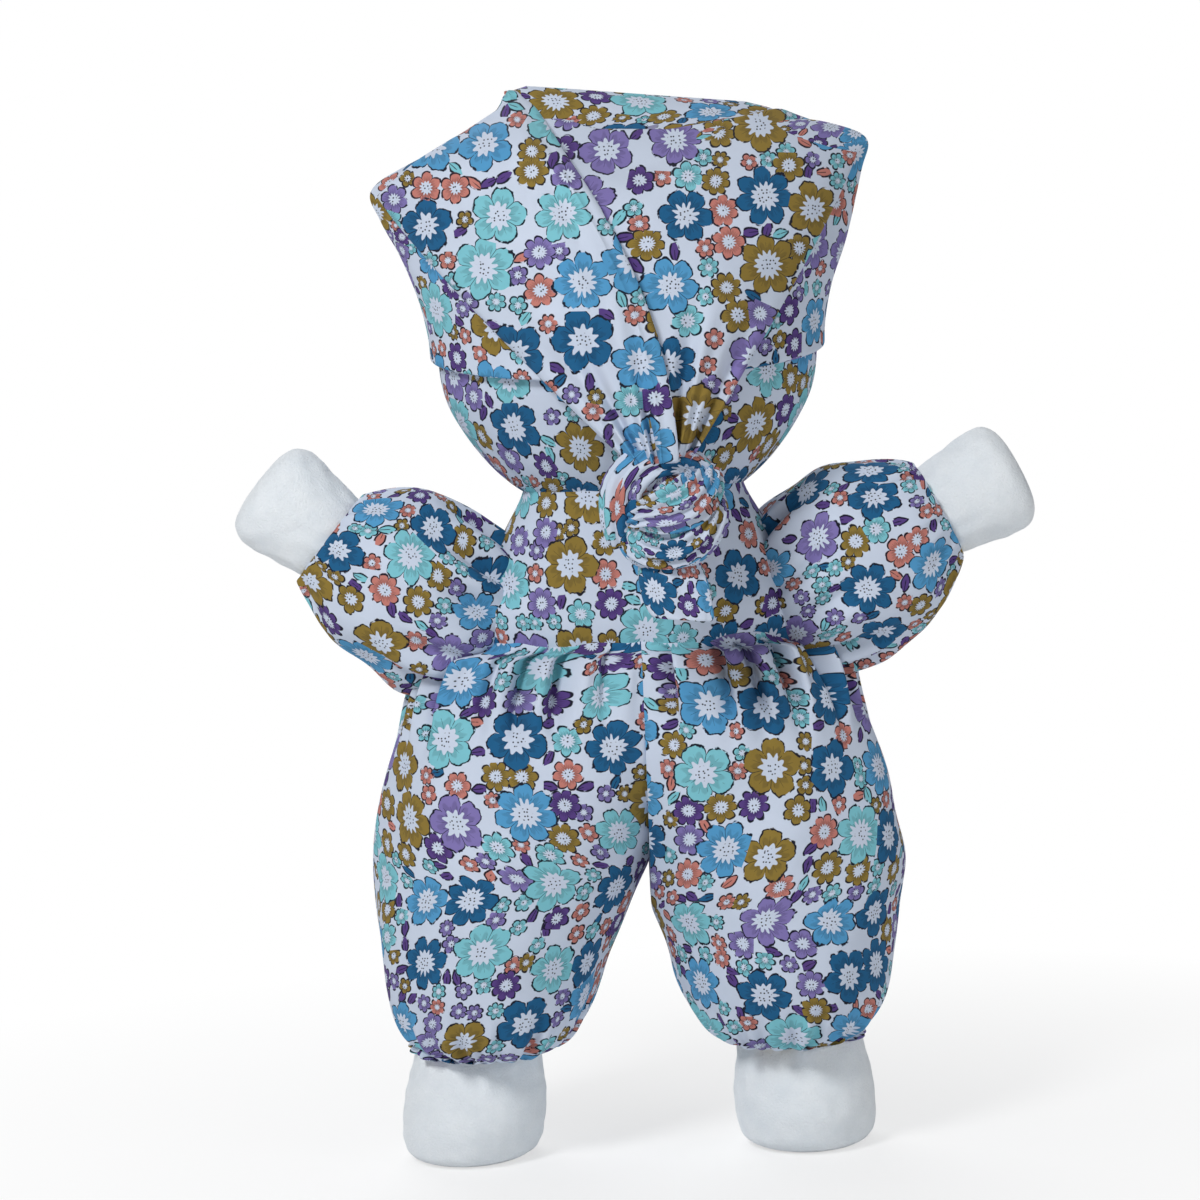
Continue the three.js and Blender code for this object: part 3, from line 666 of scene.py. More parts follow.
PRINT = printed_cotton()
VELOUR = white_velour()
# The last colour of each floss is the painted shade in the grooves between its strands.
DARK_FLOSS = floss("dark_stitches", "3f3957", "2a2540")
ROSE_FLOSS = floss("rose_stitches", "cc8078", "a85f5a")


# Torso and bodice
def bodice_grid():
    stations = []
    for angle in (-52, -38, -20):
        drop = math.sin(math.radians(angle))
        deep = BODICE_DEEP * math.cos(math.radians(angle))
        stations.append((HIP[2] + BODICE_DEEP * drop, BODICE_WIDE * (1 - 0.06 * drop**2), deep))
    for share in (0, 0.35, 0.7, 1):
        height = lerp(HIP[2], NECK[2], share)
        stations.append((height, lerp(BODICE_WIDE, NECK_WIDE, share), lerp(BODICE_DEEP, NECK_DEEP, share)))
    stations.append((NECK[2] + 6 * MM, 0.96 * NECK_WIDE, 0.95 * NECK_DEEP))
    return rings(swell(stations, BODICE_GRID[0]), BODICE_GRID[1])


def make_bodice():
    grid = bodice_grid()
    height = grid[:, 0, 2]
    flat = widen(grid, 1.03 + 0.05 * smooth(WAIST_Z + 14 * MM, WAIST_Z, height))
    folds = puckers(grid.shape[1], (16, 24, 30))
    grid = gather(grid, (0.4 * MM * smooth(WAIST_Z + 12 * MM, WAIST_Z, height), folds))
    grid = widen(grid, 1 - WAIST_TIE * bell(height - WAIST_Z, 7 * MM))
    pinned = each_column((height < WAIST_Z + MM) | (height > NECK[2] - MM), grid)
    quarter = grid.shape[1] // 4
    pinned[:, [0, quarter, 2 * quarter]] = True
    grid = stuffed(grid, flat, pinned, pressure=3.0, most=2.2 * MM)
    seam = bell(grid[..., 0] - MIDDLE[0], 2.5 * MM) * (grid[..., 1] > MIDDLE[1])
    grid[..., 1] -= 0.35 * MM * seam
    replaced = (("bodice_left_back",), ("bodice_right_back",), ("bodice_front", "torso_stuffing"))
    edges = (0, quarter, 2 * quarter, 4 * quarter)
    back = cloth_map(flat, 0, 2 * quarter)
    charts = (back[:, : quarter + 1], back[:, quarter:], cloth_map(flat, 2 * quarter, 4 * quarter))
    for nodes, chart, first, last in zip(replaced, charts, edges, edges[1:]):
        piece = panel_piece(f"{nodes[0]}_cloth", grid, first, last, chart, PRINT)
        dress(piece, "printed_cotton", *nodes, body="torso", fill=0.7)


# Head
def head_grid():
    # Share of the height, then of the half width and the depth
    rises = (
        (0, 0.55, 0.57), (0.02, 0.6, 0.62), (0.09, 0.74, 0.77), (0.19, 0.88, 0.89),
        (0.3, 0.975, 0.97), (0.44, 1, 1), (0.6, 0.96, 0.97), (0.76, 0.83, 0.84),
        (0.89, 0.58, 0.6), (0.97, 0.28, 0.3), (1, 0.03, 0.03),
    )
    tall = HEAD_TOP - NECK[2]
    table = [(NECK[2] + rise * tall, wide * HEAD_WIDE, deep * HEAD_DEEP) for rise, wide, deep in rises]
    return rings(swell(table, HEAD_GRID[0]), HEAD_GRID[1])


def make_head():
    grid = head_grid()
    height = grid[:, 0, 2]
    near_neck = smooth(NECK[2] + 20 * MM, NECK[2], height)
    flat = widen(grid, 1.03 + 0.22 * near_neck)
    folds = puckers(grid.shape[1], (14, 20, 26))
    grid = gather(grid, (0.9 * MM * near_neck * smooth(NECK[2], NECK[2] + 3 * MM, height), folds))
    pinned = each_column((height < NECK[2] + 2 * MM) | (height > HEM_Z + 16 * MM), grid)
    half = grid.shape[1] // 2
    pinned[:, [0, half]] = True
    grid = stuffed(grid, flat, pinned, pressure=3.0, most=2.0 * MM)
    back = panel_piece("head_back_cloth", grid, 0, half, cloth_map(flat, 0, half), PRINT)
    face = panel_piece("face_cloth", grid, half, 2 * half, cloth_map(flat, half, 2 * half), VELOUR)
    for piece in (back, face):
        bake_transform(piece)
    dress(back, "printed_cotton", "head_back_panel", "head_stuffing", fill=0.85)
    dress(face, "white_velour", "face_panel", fill=0.85)
    make_face(grid[:, half:])


def face_depth(front, x, z):
    """How far back the face lies at a place across and up it."""
    gap = np.abs(front[..., 0] - x) + np.abs(front[..., 2] - z)
    return front[..., 1].ravel()[np.argmin(gap)]


def make_face(front):
    # Shares of an eye's size, and how far it is raised there
    shares = np.array([1.02, 1.0, 0.9, 0.7, 0.45, 0.2])
    raised = np.array([-0.6, 0.25, 0.75, 1.05, 1.2, 1.25]) * MM
    for node in ("left_eye", "right_eye"):
        x, _, z = centre_of(node)
        wide, _, high = size_of(node) / 2
        sizes = np.stack([-raised, shares * wide, shares * high], axis=1)
        grid = rings(sizes, EYE_SIDES, np.array([x, face_depth(front, x, z), z]), Y, X, Z)
        piece = tube(f"{node}_stitch", grid, [cloth_map(grid, 0, EYE_SIDES)], DARK_FLOSS)
        dress(piece, "dark_floss", node, body="head")
    low, high = box("mouth")
    steps, sides = MOUTH_GRID
    path = []
    for share in np.linspace(-1, 1, steps):
        x = lerp(low[0], high[0], (share + 1) / 2)
        z = low[2] + 0.9 * MM + 3 * MM * share**2
        path.append((x, face_depth(front, x, z) - 0.2 * MM, z))
    grid = along_path(np.array(path), np.full((steps, 2), 0.8 * MM), sides)
    piece = tube("mouth_stitch", grid, [cloth_map(grid, 0, sides)], ROSE_FLOSS)
    dress(piece, "rose_floss", "mouth", body="head")


def along_path(path, radii, sides, facing=Y, ridges=0, ridge=0.0):
    """Grid of rings along a path. Radii are across the path and toward facing."""
    ahead = np.gradient(path, axis=0)
    ahead /= np.linalg.norm(ahead, axis=1, keepdims=True)
    across = np.cross(facing, ahead)
    across /= np.linalg.norm(across, axis=1, keepdims=True)
    out = np.cross(ahead, across)
    turn = turns(sides)
    fold = 1 + ridge * (2 * np.abs(np.cos(ridges * turn / 2)) - 1) if ridges else 1
    return (
        path[:, None]
        + (radii[:, [0]] * np.cos(turn) * fold)[..., None] * across[:, None]
        + (radii[:, [1]] * np.sin(turn) * fold)[..., None] * out[:, None]
    )


# Cap
EAR_Z = HEM_Z + EAR_RISE
TOP_Z = CROWN_HIGH[2] - TOP_DROP
BAND_WIDE = HEAD_WIDE + 0.8 * MM + CLOTH
BAND_DEEP = HEAD_DEEP + 0.8 * MM + CLOTH


def crown_sizes(rows):
    # Up to the corners: share of the way, spread, depth, pinch, lean, and tilt of the ring
    below = (
        (0, 0, 1, 0, 0, 0), (0.12, 0.03, 1, 0, 0, 0), (0.32, 0.18, 1, 0, 0, 0),
        (0.57, 0.5, 0.97, 0.2, 0, 0), (0.84, 0.86, 0.87, 0.6, -0.25, -1),
        (1, 1, 0.75, 0.9, -0.5, -1),
    )
    # From the corners to the top: the same, and how far the ring lies to the side
    above = (
        (0.36, 0.81, 0.62, 0.6, -0.75, -0.5 * EAR_DROP, 0.48),
        (0.66, 0.6, 0.44, 0.3, -1, 0.5 * TOP_DROP, 1.16),
        (0.88, 0.54, 0.25, 0.1, -1, TOP_DROP, 1.12), (1.0, 0.44, 0.08, 0, -1, TOP_DROP, 1),
    )
    stations = []
    for share, spread, deep, pinch, lean, tip in below:
        wide = lerp(BAND_WIDE, EAR_WIDE, spread)
        height = lerp(HEM_Z, EAR_Z, share)
        stations.append((height, wide, deep * BAND_DEEP, 0, lean * TOP_LEAN, pinch, tip * EAR_DROP))
    for share, spread, deep, pinch, lean, tip, side in above:
        height = lerp(EAR_Z, TOP_Z, share)
        wide = spread * EAR_WIDE
        stations.append((height, wide, deep * BAND_DEEP, side * TOP_SIDE, lean * TOP_LEAN, pinch, tip))
    return swell(stations, rows)


def hollow(x, z):
    """Depth of the hollow in the back of the crown, under the fold of the tip."""
    return HOLLOW * bell(x - MIDDLE[0] + 6 * MM, 26 * MM) * bell(z - TOP_Z + 9 * MM, 10 * MM)


def crown_back(x, z):
    """How far back the crown lies at places across and up it."""
    sizes = crown_sizes(120)
    sizes = sizes[np.argsort(sizes[:, 0])]
    wide, deep, side, back, pinch = (np.interp(z, sizes[:, 0], sizes[:, k]) for k in range(1, 6))
    share = np.clip(np.abs(x - MIDDLE[0] - side) / wide, 0, 1)
    return MIDDLE[1] + back + deep * np.sqrt(1 - share**2) ** (1 + pinch) - hollow(x, z)


def make_crown():
    sizes = crown_sizes(CROWN_GRID[0])
    grid = rings(sizes, CROWN_GRID[1])
    rise = sizes[:, 0] - HEM_Z
    lift = (BAND_DEEP + MIDDLE[1] - grid[0, :, 1]) * math.tan(HEM_SLOPE)
    grid[..., 2] += lift * (1 - smooth(0, EAR_RISE, rise))[:, None]
    behind = smooth(-2 * MM, 6 * MM, grid[..., 1] - MIDDLE[1] + TOP_LEAN)
    grid[..., 1] -= behind * hollow(grid[..., 0], grid[..., 2])
    flat = grid.copy()
    slack = bell(rise - 0.55 * EAR_RISE, 0.35 * EAR_RISE)
    grid = gather(grid, (0.9 * MM * slack, puckers(grid.shape[1], (6, 10, 14))))
    hem = np.stack([widen(grid[:1], np.array([share]))[0] for share in (0.955, 0.952, 0.985)])
    hem[:2, :, 2] += np.array([[7 * MM], [1 * MM]])
    hem[2, :, 2] -= 0.5 * MM
    grid = np.concatenate([hem, grid])
    flat = np.concatenate([flat[:1] - np.array([12, 6, 1.5])[:, None, None] * MM * Z, flat])
    piece = tube("cap_crown_cloth", grid, two_panels(flat), PRINT, (False, True))
    dress(piece, "printed_cotton", "cap_crown", body="head", fill=0.3)


# Top edge of the flap: share of the way from the middle to a corner, then across and up in millimetres
CREST = np.array(
    [
        (-1, -62, 258.5), (-0.85, -54, 265), (-0.66, -42, 270),
        (-0.5, -32, 267.5), (-0.2, -13, 264.5), (0.1, 6, 265.5), (0.3, 20, 271.5),
        (0.37, 25, 276.5), (0.42, 28, 277.5), (0.47, 31, 272.5), (0.8, 51, 260.5),
        (1, 63, 251.5),
    ]
)
# The pleat in section: across and out, as shares of its overhang and its height
PLEAT_SECTION = ((0.0, 1.0), (-0.6, 1.0), (-1.0, 0.72), (-0.85, 0.35), (-0.2, 0.12), (0.6, 0.0))


def flap_columns(pleat):
    """Share across the flap of each front column, in each row, and how far each is through the pleat."""
    left = 1 - np.sin(np.linspace(0, np.pi / 2, 50)) ** 1.2
    through = np.linspace(0, 1, 14)
    right = 1 - np.cos(np.linspace(0, np.pi / 2, 64)) ** 1.2
    share = np.concatenate(
        [pleat + (1 - pleat) * left, pleat + 0 * through, pleat - (1 + pleat) * right], axis=1
    )
    fold = np.concatenate([0 * left, through, 1 + 0 * right])
    return share, fold


def make_flap():
    """The folded tip: from the two corners and the ridges of the top down to the knot."""
    down = np.linspace(0, 1, FLAP_ROWS)[:, None]
    pleat = 0.42 - 0.8 * down + 0.28 * down**2
    share, fold = flap_columns(pleat)
    end_z = KNOT[2] + 0.36 * KNOT_SIZE[2]
    end_x = KNOT[0] + 0.3 * KNOT_SIZE[0] * share
    top_x = MIDDLE[0] + np.interp(share, CREST[:, 0], CREST[:, 1]) * MM
    top_z = np.interp(share, CREST[:, 0], CREST[:, 2]) * MM
    x = lerp(top_x, end_x, down**1.12)
    z = lerp(top_z, end_z, down)
    rest = crown_back(x, np.maximum(z, HEM_Z))
    rest = lerp(rest, KNOT[1] + 1.5 * MM, smooth(HEM_Z + 4 * MM, end_z, z))
    left = share - pleat
    rounded = np.sqrt(np.clip(1 - share**2, 0, 1)) ** 0.8
    drawn = smooth(0.4, 1.0, down)
    raised = CLOTH + FLAP_PUFF * rounded * smooth(0, 0.2, down)
    raised = raised + 3.0 * MM * bell(left - 0.12, 0.12) * (1 - 0.5 * down) * (fold == 0)
    raised = raised - 5.5 * MM * bell(left + 0.32, 0.28) * bell(down - 0.06, 0.12)
    waves = np.cos(2 * np.pi * (2.3 * share + 0.35)) + 0.7 * np.cos(2 * np.pi * (4.2 * share + 0.1))
    raised = raised + 2.0 * MM * drawn * waves
    raised = raised + 0.9 * MM * np.sin(5.2 * share + 3 * down) * np.sin(7 * down) * (1 - drawn)
    raised = np.maximum(raised, 0.9 * MM)
    steps = np.linspace(0, 1, 40)
    section = swell(PLEAT_SECTION, len(steps))
    over, high = (np.interp(fold, steps, section[:, k]) for k in range(2))
    ridge = PLEAT * (1 - 0.35 * down + 0.9 * bell(down - 0.1, 0.16))
    height = ridge * np.where(fold == 0, np.clip(1 - left / 0.8, 0, 1) ** 1.5, high)
    open_top = smooth(-0.06, 0.06, down)
    under = 0.6 * np.clip(1 + left / 0.25, 0, 1) * (fold == 1)
    across = PLEAT_OVERHANG * open_top * np.where(fold == 1, under, over)
    front = np.stack([x + across, rest + raised + height * open_top, z], axis=2)
    back = np.stack([x, rest + 0.2 * MM, z], axis=2)[:, -2:0:-1]
    grid = np.concatenate([front, back], axis=1)
    grid[:, 0, 1] -= 0.4 * MM
    hidden = 2.5 * PLEAT_OVERHANG * fold
    chart = np.stack([hidden - x, z], axis=2)
    chart = np.concatenate([chart, chart[:, -2::-1]], axis=1) + rng.uniform(0, PRINT_SHIFT, 2)
    piece = tube("cap_flap_cloth", grid[::-1], [chart[::-1]], PRINT)
    hinge = JOINT["cap_tail_lift"] - 6 * MM * Z
    hinge + 22 * MM * unit(np.array([-0.056, 0, -1]))
    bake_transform(piece)
    dress(piece, "printed_cotton", "cap_flap", fill=0.2)


# Wraps of the knot: number and depth of their folds, then stations in millimetres from its middle, seen
# from behind: right, up, out, half the width and half the thickness
KNOT_WRAPS = {
    "hood": (
        9, 0.13, (-8.5, -9.5, 0.5, 4.5, 4), (-9, -3, 2.5, 5.6, 5),
        (-8, 4, 3.5, 5.8, 5.5), (-3, 8.8, 4, 5.2, 5.5), (4, 9.6, 3, 4.4, 5),
        (9.5, 7, 1, 3.6, 4), (12, 2, -1, 2.5, 3),
    ),
    "fan": (
        12, 0.21, (-8, -4, 3.5, 2.2, 2.6), (-4, -2.8, 6.5, 3.8, 3.8),
        (1, -2, 8, 5.4, 4.6), (6, 0, 7, 6.2, 4.8), (10, 3.5, 4, 5.2, 4.2),
        (12, 7, 0, 3, 3),
    ),
    "under": (
        10, 0.18, (-7.5, -4, 0, 3, 3.5), (-5.5, -9.5, 3, 4.6, 4.8),
        (1, -11.5, 4.6, 5, 5.2), (7.5, -9, 4.4, 5, 5.2), (11.5, -3.5, 2.5, 4.4, 4.6),
        (12, 2, 0, 3, 3),
    ),
    "core": (
        8, 0.12, (-1, 15, -1, 5, 4.5), (0, 8, 1, 6, 5), (1, 0, 2, 7.5, 6),
        (2, -8, 1, 6.5, 5), (3, -14, -1, 5, 4),
    ),
}
# Cloth that the folds of the knot and of the free end take up: lengths on the cloth for each length seen
KNOT_FOLDED = (1.6, 1.3)
TAIL_FOLDED = (1.4, 1.2)


def make_knot():
    """Wraps of the tip round itself, each of cloth in narrow folds."""
    for name, (ridges, ridge, *stations) in KNOT_WRAPS.items():
        table = swell(stations, KNOT_GRID[0]) * MM
        path = KNOT + np.stack([-table[:, 0], table[:, 2], table[:, 1]], axis=1)
        grid = along_path(path, table[:, 3:], KNOT_GRID[1], ridges=ridges, ridge=ridge)
        chart = cloth_map(grid, 0, grid.shape[1]) * KNOT_FOLDED
        piece = tube(f"cap_knot_{name}", grid, [chart], PRINT)
        nodes = ["cap_tail_knot"] if name == "hood" else []
        dress(piece, "printed_cotton", *nodes, body="cap_tail", fill=0.3)


def make_tail():
    """Free end of the tip, flattened, standing off the back at its lower edge."""
    middle = (TAIL_LOW + TAIL_HIGH) / 2
    wide, deep, _ = (TAIL_HIGH - TAIL_LOW) / 2
    slant = 0.2 * wide
    low = TAIL_LOW[2] + 4 * MM
    # Share of the way down, of the half width, of the thickness and of the slant, and millimetres out
    shares = (
        (-0.4, 0.5, 0.9, 0.6, 0), (0, 0.7, 1, 0.5, 1), (0.35, 0.82, 0.8, 0.1, 3),
        (0.7, 0.82, 0.6, -0.3, 5), (0.9, 0.76, 0.5, -0.7, 6.5), (0.99, 0.66, 0.42, -0.9, 7),
        (1, 0.5, 0.25, -1, 7),
    )
    stations = []
    for share, across, thick, side, out in shares[::-1]:
        height = lerp(TAIL_HIGH[2], low, share)
        tip = 0.1 * across * wide
        stations.append((height, across * wide, thick * deep, side * slant, out * MM, -0.45, tip))
    rows, columns = TAIL_GRID
    grid = rings(swell(stations, rows), columns, np.array([middle[0], middle[1], 0]))
    grid = gather(grid, (np.full(rows, 0.7 * MM), puckers(columns, (4, 6, 8))))
    piece = tube("cap_tail_cloth", grid, [chart * TAIL_FOLDED for chart in two_panels(grid)], PRINT)
    dress(piece, "printed_cotton", "cap_tail_end", body="cap_tail", fill=0.1)


# Legs and feet
def lean(height):
    return LEG_LEAN * (1 - height / WAIST_Z)


# A leg from above the ankle to below the waist: share of its height, inner edge, outer edge and depth
LEG_SHARES = (
    (0.008, 0.35, 0.76, 0.6), (0.045, 0.265, 0.855, 0.78), (0.13, 0.165, 0.94, 0.91),
    (0.24, 0.11, 0.975, 0.97), (0.38, 0.015, 1, 1), (0.52, -0.1, 0.99, 1),
    (0.7, -0.36, 0.915, 0.97), (0.86, -0.7, 0.82, 0.915), (0.945, -0.72, 0.76, 0.865),
    (0.983, -0.72, 0.72, 0.815),
)


def trouser_grid(side, ankle, full):
    """Rings of one leg, fuller at the hip by full. Their last columns lie on the seam between the legs."""
    long = WAIST_Z - TROUSER_LOW
    waist = (1 - WAIST_TIE) * BODICE_WIDE + 0.6 * MM
    stations = [
        (0.06, ankle - 14 * MM, ankle + 14 * MM, 0.4),
        (0.012, ankle - 16 * MM, ankle + 16 * MM, 0.47),
        *((rise, inner * LEG_WIDE, outer * LEG_WIDE, deep) for rise, inner, outer, deep in LEG_SHARES),
        (0.998, -waist, waist, 0.76),
        (1.03, -0.95 * waist, 0.95 * waist, 0.7),
    ]
    table = []
    for rise, inner, outer, deep in stations:
        height = TROUSER_LOW + rise * long
        if outer > waist:
            outer += full * bell(rise - 0.86, 0.25)
        middle = (outer + inner) / 2 + side * lean(height)
        table.append((height, (outer - inner) / 2, deep * TROUSER_DEEP, middle))
    sizes = swell(table, LEG_ROWS)
    height, wide, deep, middle = (sizes[:, [k]] for k in range(4))
    meets = np.minimum(np.arccos(np.clip(-middle / wide, -1, 1)), np.pi - 0.16)
    round_leg = np.linspace(-1, 1, LEG_COLUMNS - SEAM_COLUMNS)[1:-1] * meets
    on_seam = np.linspace(0, 1, SEAM_COLUMNS + 2) * 2 * (np.pi - meets) + meets
    turn = np.concatenate([round_leg, on_seam], axis=1)
    x = np.maximum(middle + wide * np.cos(turn), 0)
    grid = np.stack([MIDDLE[0] + side * x, MIDDLE[1] + deep * np.sin(turn), height + 0 * x], axis=2)
    flat = np.stack([middle + wide * np.cos(turn), deep * np.sin(turn), height + 0 * x], axis=2)
    if side < 0:
        return grid[:, ::-1], flat[:, ::-1], x[:, ::-1]
    return grid, flat, x


def make_trouser(side, name):
    ankle_joint = JOINT[f"{name}_ankle_turn"]
    ankle = abs(ankle_joint[0] - MIDDLE[0] - lean(ankle_joint[2]))
    grid, flat, seam = trouser_grid(side, ankle, LEG_FULL[name])
    height = grid[:, 0, 2]
    row = np.arange(len(height))
    near_waist = smooth(WAIST_Z - 30 * MM, WAIST_Z, height) * (row > 20)
    near_ankle = smooth(TROUSER_LOW + 17 * MM, TROUSER_LOW, height)
    rest = widen(grid, 1.03 + 0.2 * near_waist + 0.45 * near_ankle)
    waist_depth = 4.8 * MM * near_waist * smooth(WAIST_Z + 1 * MM, WAIST_Z - 2 * MM, height)
    ankle_depth = 2.0 * MM * near_ankle * smooth(-1, 8, row)
    away = smooth(0, 6 * MM, seam)[..., None]
    waist_folds = tucks(LEG_COLUMNS, 15, 1.4)
    ankle_folds = puckers(LEG_COLUMNS, (16, 22, 30))
    folds = ((waist_depth, waist_folds), (ankle_depth, ankle_folds))
    grid = lerp(grid, gather(grid, *folds), away)
    held = each_column((height > WAIST_Z - 0.5 * MM) | (row < 6), grid)
    grid = stuffed(grid, rest, held | (seam < 0.3 * MM), pressure=4.0, most=3.5 * MM)
    grid = lerp(grid, dent(gather(grid, *folds), 0.6 * MM, 26 * MM), away)
    across = np.maximum(side * (grid[..., 0] - MIDDLE[0]), 0)
    grid[..., 0] = MIDDLE[0] + side * across
    dip = SEAM_DIP * smooth(WAIST_Z - 1 * MM, WAIST_Z - 16 * MM, grid[..., 2]) * bell(across, 4.5 * MM)
    grid[..., 1] -= dip * np.clip((grid[..., 1] - MIDDLE[1]) / (12 * MM), -1, 1)
    first = SEAM_COLUMNS if side < 0 else 0
    outer = (LEG_COLUMNS - SEAM_COLUMNS) // 2
    edges = (0, first + outer, LEG_COLUMNS)
    panels = [cloth_map(flat, a, b) for a, b in zip(edges, edges[1:])]
    piece = tube(f"{name}_trouser_cloth", grid, panels, PRINT)
    edge = LEG_COLUMNS - SEAM_COLUMNS - 2
    sharpen(piece.data, LEG_COLUMNS, (edge, LEG_COLUMNS - 1) if side > 0 else (SEAM_COLUMNS + 1, 0))
    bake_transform(piece)
    dress(piece, "printed_cotton", f"{name}_trouser_leg", f"{name}_leg_stuffing", fill=0.7)


def make_foot(name):
    joint = JOINT[f"{name}_ankle_turn"]
    foot_x, foot_y, _ = centre_of(f"{name}_foot")
    wide, long, _ = size_of(f"{name}_foot") / 2
    toe = foot_y - joint[1]
    tall = joint[2]
    # Share of the height, of the half width and of the half length, and how far the toe pulls it ahead
    table = (
        (0, 0.05, 0.05, 1), (0, 0.45, 0.47, 1), (0.003, 0.69, 0.72, 1),
        (0.05, 0.87, 0.89, 0.98), (0.14, 0.965, 0.965, 0.9), (0.34, 1, 1, 0.66),
        (0.56, 0.98, 0.9, 0.38), (0.78, 0.91, 0.77, 0.14), (1, 0.84, 0.66, 0),
        (1.25, 0.76, 0.6, 0), (1.36, 0.6, 0.48, 0),
    )
    stations = []
    for rise, w, d, ahead in table:
        across = lerp(foot_x, joint[0], min(rise, 1)) - MIDDLE[0]
        stations.append((rise * tall, w * wide, d * long, across, toe * ahead))
    sizes = swell(stations, FOOT_GRID[0])
    sizes[:, 0] = np.maximum(sizes[:, 0], 0)
    grid = rings(sizes, FOOT_GRID[1])
    sole = np.flatnonzero(sizes[:, 0] > 1 * MM)[0]
    crumple = smooth(0.5 * tall, 1.0 * tall, grid[:, 0, 2])
    grid = gather(grid, (0.6 * MM * crumple, puckers(grid.shape[1], (8, 14, 20))))
    grid[sole:] = dent(grid[sole:], PILE_LUMPS, LUMP_LENGTH)
    piece = tube(f"{name}_foot_cloth", grid, two_panels(grid), VELOUR)
    foot = f"{name}_foot"
    dress(piece, "white_velour", foot, f"{foot}_stuffing", body=foot, fill=0.8)


# Arms and hands
def limb_frame(origin, far):
    axis = unit(far - origin)
    return {"origin": origin, "axis": axis, "wide": np.cross(Y, axis), "deep": Y}


def hand_axis(side, tilt):
    return np.array([side * math.cos(tilt), 0, math.sin(tilt)])


def make_sleeve(side, name, tilt, sag):
    shoulder, wrist = JOINT[f"{name}_shoulder_swing"], JOINT[f"{name}_wrist_turn"]
    axis = unit(wrist - shoulder)
    long = np.linalg.norm(wrist - shoulder)
    deep = size_of(f"{name}_sleeve")[1] / 2
    # Share of the length, of the half height and of the depth
    table = (
        (-0.36, 0.55, 0.5), (-0.2, 0.76, 0.76), (-0.04, 0.9, 0.92), (0.2, 1, 1),
        (0.46, 0.98, 1), (0.68, 0.88, 0.92), (0.85, 0.71, 0.76), (0.95, 0.57, 0.62),
        (0.985, 0.49, 0.52), (0.95, 0.43, 0.45),
    )
    rows, columns = SLEEVE_GRID
    sizes = swell(np.array(table) * (long, SLEEVE_HIGH, deep), rows)
    along = sizes[:, 0] / long
    sizes = np.column_stack([sizes, side * sag * bell(along - 0.1, 0.4)])
    grid = rings(sizes, columns, **limb_frame(shoulder, wrist))
    hand = hand_axis(side, tilt)
    turned = math.copysign(math.tan(math.acos(hand @ axis)), hand[2] - axis[2])
    height = sizes[:, [1]] * np.cos(turns(columns))
    grid += (side * turned * smooth(0.3, 1, along)[:, None] * height)[..., None] * axis
    row = np.arange(rows)
    near_root = smooth(0.5, -0.05, along)
    near_wrist = smooth(0.6, 0.95, along)
    flat = widen(grid, 1.04 + 0.3 * near_root + 0.4 * near_wrist)
    root_depth = 2.4 * MM * near_root * smooth(-0.3, 0.0, along)
    wrist_depth = 0.9 * MM * near_wrist * smooth(rows - 1, rows - 8, row)
    root_folds = tucks(columns, 11, 1.3)
    wrist_folds = puckers(columns, (14, 20, 28))
    folds = ((root_depth, root_folds), (wrist_depth, wrist_folds))
    grid = gather(grid, *folds)
    pinned = each_column((along < -0.02) | (row > rows - 5), grid)
    grid = stuffed(grid, flat, pinned, pressure=3.5, most=2.5 * MM)
    grid = dent(gather(grid, *folds), 0.7 * MM, 20 * MM)
    piece = tube(f"{name}_sleeve_cloth", grid, two_panels(flat), PRINT)
    shoulder - 4 * MM * axis
    shoulder + 18 * MM * axis
    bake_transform(piece)
    dress(piece, "printed_cotton", f"{name}_sleeve", f"{name}_arm_stuffing", fill=0.7)


def make_hand(side, name, tilt):
    wrist = JOINT[f"{name}_wrist_turn"]
    deep = size_of(f"{name}_hand")[1] / 2
    # Share of the length, of the half width and of the depth
    table = (
        (-0.42, 0.5, 0.55), (-0.3, 0.76, 0.86), (0, 0.86, 0.93), (0.3, 0.93, 0.98),
        (0.56, 1, 1), (0.76, 1, 0.95), (0.9, 0.86, 0.76), (0.975, 0.56, 0.46),
        (1, 0.05, 0.05),
    )
    rows, columns = HAND_GRID
    sizes = swell(np.array(table) * (HAND_LONG, HAND_WIDE, deep), rows)
    sizes[:, 1:3] = np.maximum(sizes[:, 1:3], 0.1 * MM)
    grid = rings(sizes, columns, **limb_frame(wrist, wrist + hand_axis(side, tilt)))
    folds = puckers(columns, (6, 12, 18))
    grid = gather(grid, (0.4 * MM * smooth(0.5 * HAND_LONG, 0.0, sizes[:, 0]), folds))
    grid = dent(grid, PILE_LUMPS, LUMP_LENGTH)
    piece = tube(f"{name}_hand_cloth", grid, two_panels(grid), VELOUR)
    hand = f"{name}_hand"
    dress(piece, "white_velour", hand, f"{hand}_stuffing", body=hand, fill=0.8)


# Studio
AIM = np.array([MIDDLE[0] + 9.9 * MM, MIDDLE[1], 144.9 * MM])
VIEW_WIDTH = 312 * MM
ELEVATION = math.radians(4)
ROLL = math.radians(2.5)
LENS = 0.1
SENSOR = 0.036
FLOOR_FADE = 0.3
FLOOR_GLOW = 0.55
FLOOR_REACH = 3.0
WORLD_LIGHT = 0.22
# Name, place, size and power of each lamp
LAMPS = (
    ("key", (0.45, 0.7, 0.8), 0.3, 6.6),
    ("fill", (-0.7, 0.6, 0.3), 0.5, 1.4),
    ("front", (0.2, -0.8, 0.6), 0.7, 3.9),
)


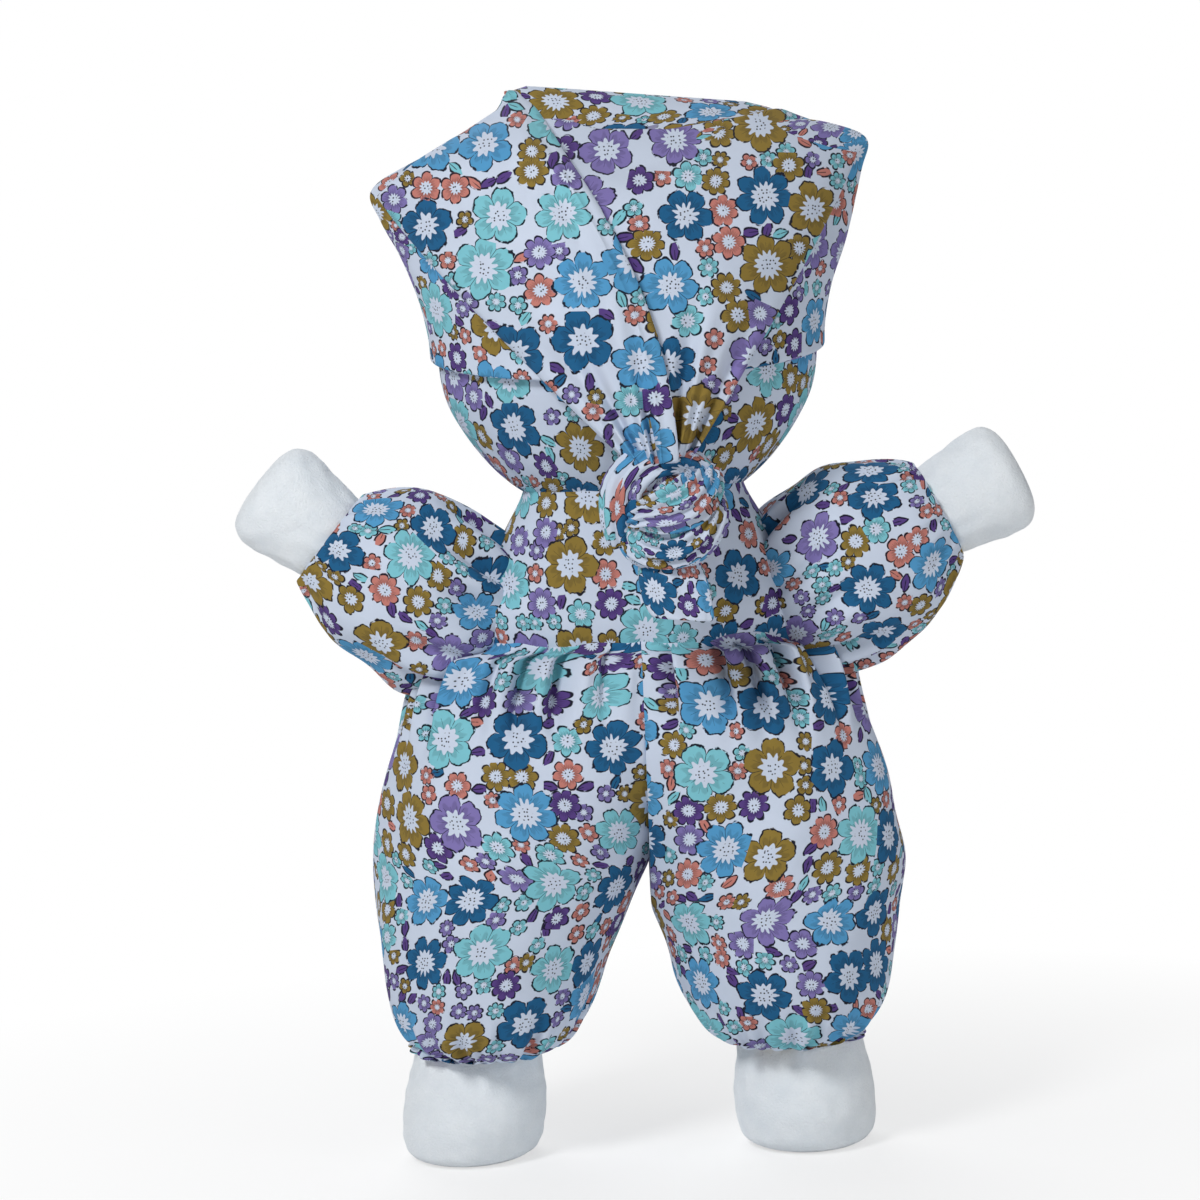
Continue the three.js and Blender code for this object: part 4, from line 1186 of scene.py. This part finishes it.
def make_camera():
    data = bpy.data.cameras.new("camera")
    data.lens = LENS * 1000
    data.sensor_width = SENSOR * 1000
    camera = new_object("camera", data)
    back = Vector((0, math.cos(ELEVATION), math.sin(ELEVATION)))
    camera.location = Vector(AIM) + back * (VIEW_WIDTH * LENS / SENSOR)
    camera.rotation_mode = "QUATERNION"
    camera.rotation_quaternion = (-back).to_track_quat("-Z", "Y") @ Quaternion((0, 0, 1), -ROLL)
    bpy.context.scene.camera = camera


def make_light(name, place, size, power):
    data = bpy.data.lights.new(name, "AREA")
    data.shape = "DISK"
    data.size = size
    data.energy = power
    lamp = new_object(name, data)
    lamp.location = place
    lamp.rotation_mode = "QUATERNION"
    lamp.rotation_quaternion = (Vector(AIM) - Vector(place)).to_track_quat("-Z", "Y")


def make_studio():
    sky = Graph(bpy.data.worlds.new("studio"))
    bpy.context.scene.world = sky.owner
    light = sky.tree.nodes["Background"]
    sky.fill(light, {"Color": (0.95, 0.97, 1.0, 1), "Strength": WORLD_LIGHT})
    white = sky.node("ShaderNodeBackground", {"Color": (1, 1, 1, 1)})
    sky.show(sky.seen(), light, white, "World Output")
    for lamp in LAMPS:
        make_light(*lamp)
    graph = Graph(bpy.data.materials.new("floor"))
    place = graph.node("ShaderNodeTexCoord", {}).outputs["Object"]
    tone = graph.mix(graph.noise(place, 9), colour("f4f5f6"), colour("fafafa"))
    graph.fill(graph.shader, {"Base Color": tone, "Roughness": 0.9})
    glow = graph.node("ShaderNodeEmission", {"Color": (1, 1, 1, 1), "Strength": 1.0})
    far = graph.math("MULTIPLY", graph.distance(place, (*MIDDLE[:2], 0)), 1 / FLOOR_FADE, clamp=True)
    share = FLOOR_GLOW + far * (1 - FLOOR_GLOW)
    graph.show(graph.seen() * share, graph.shader, glow, "Material Output")
    corners = FLOOR_REACH * np.array([(-1, -1, 0), (1, -1, 0), (1, 1, 0), (-1, 1, 0)])
    mesh = new_mesh("floor", corners, [(0, 1, 2, 3)])
    mesh.materials.append(graph.owner)
    new_object("floor", mesh)


bpy.context.scene.view_settings.view_transform = "Standard"
make_camera()
make_studio()
make_bodice()
make_head()
make_crown()
make_flap()
make_knot()
make_tail()
# Each side of the doll: its sign, its name, degrees that the hand is raised, and sag of the sleeve
for limb_side, limb_name, hand_tilt, sleeve_sag in ((1, "left", 40, 2.2 * MM), (-1, "right", 26, 0.0)):
    make_trouser(limb_side, limb_name)
    make_foot(limb_name)
    make_sleeve(limb_side, limb_name, math.radians(hand_tilt), sleeve_sag)
    make_hand(limb_side, limb_name, math.radians(hand_tilt))
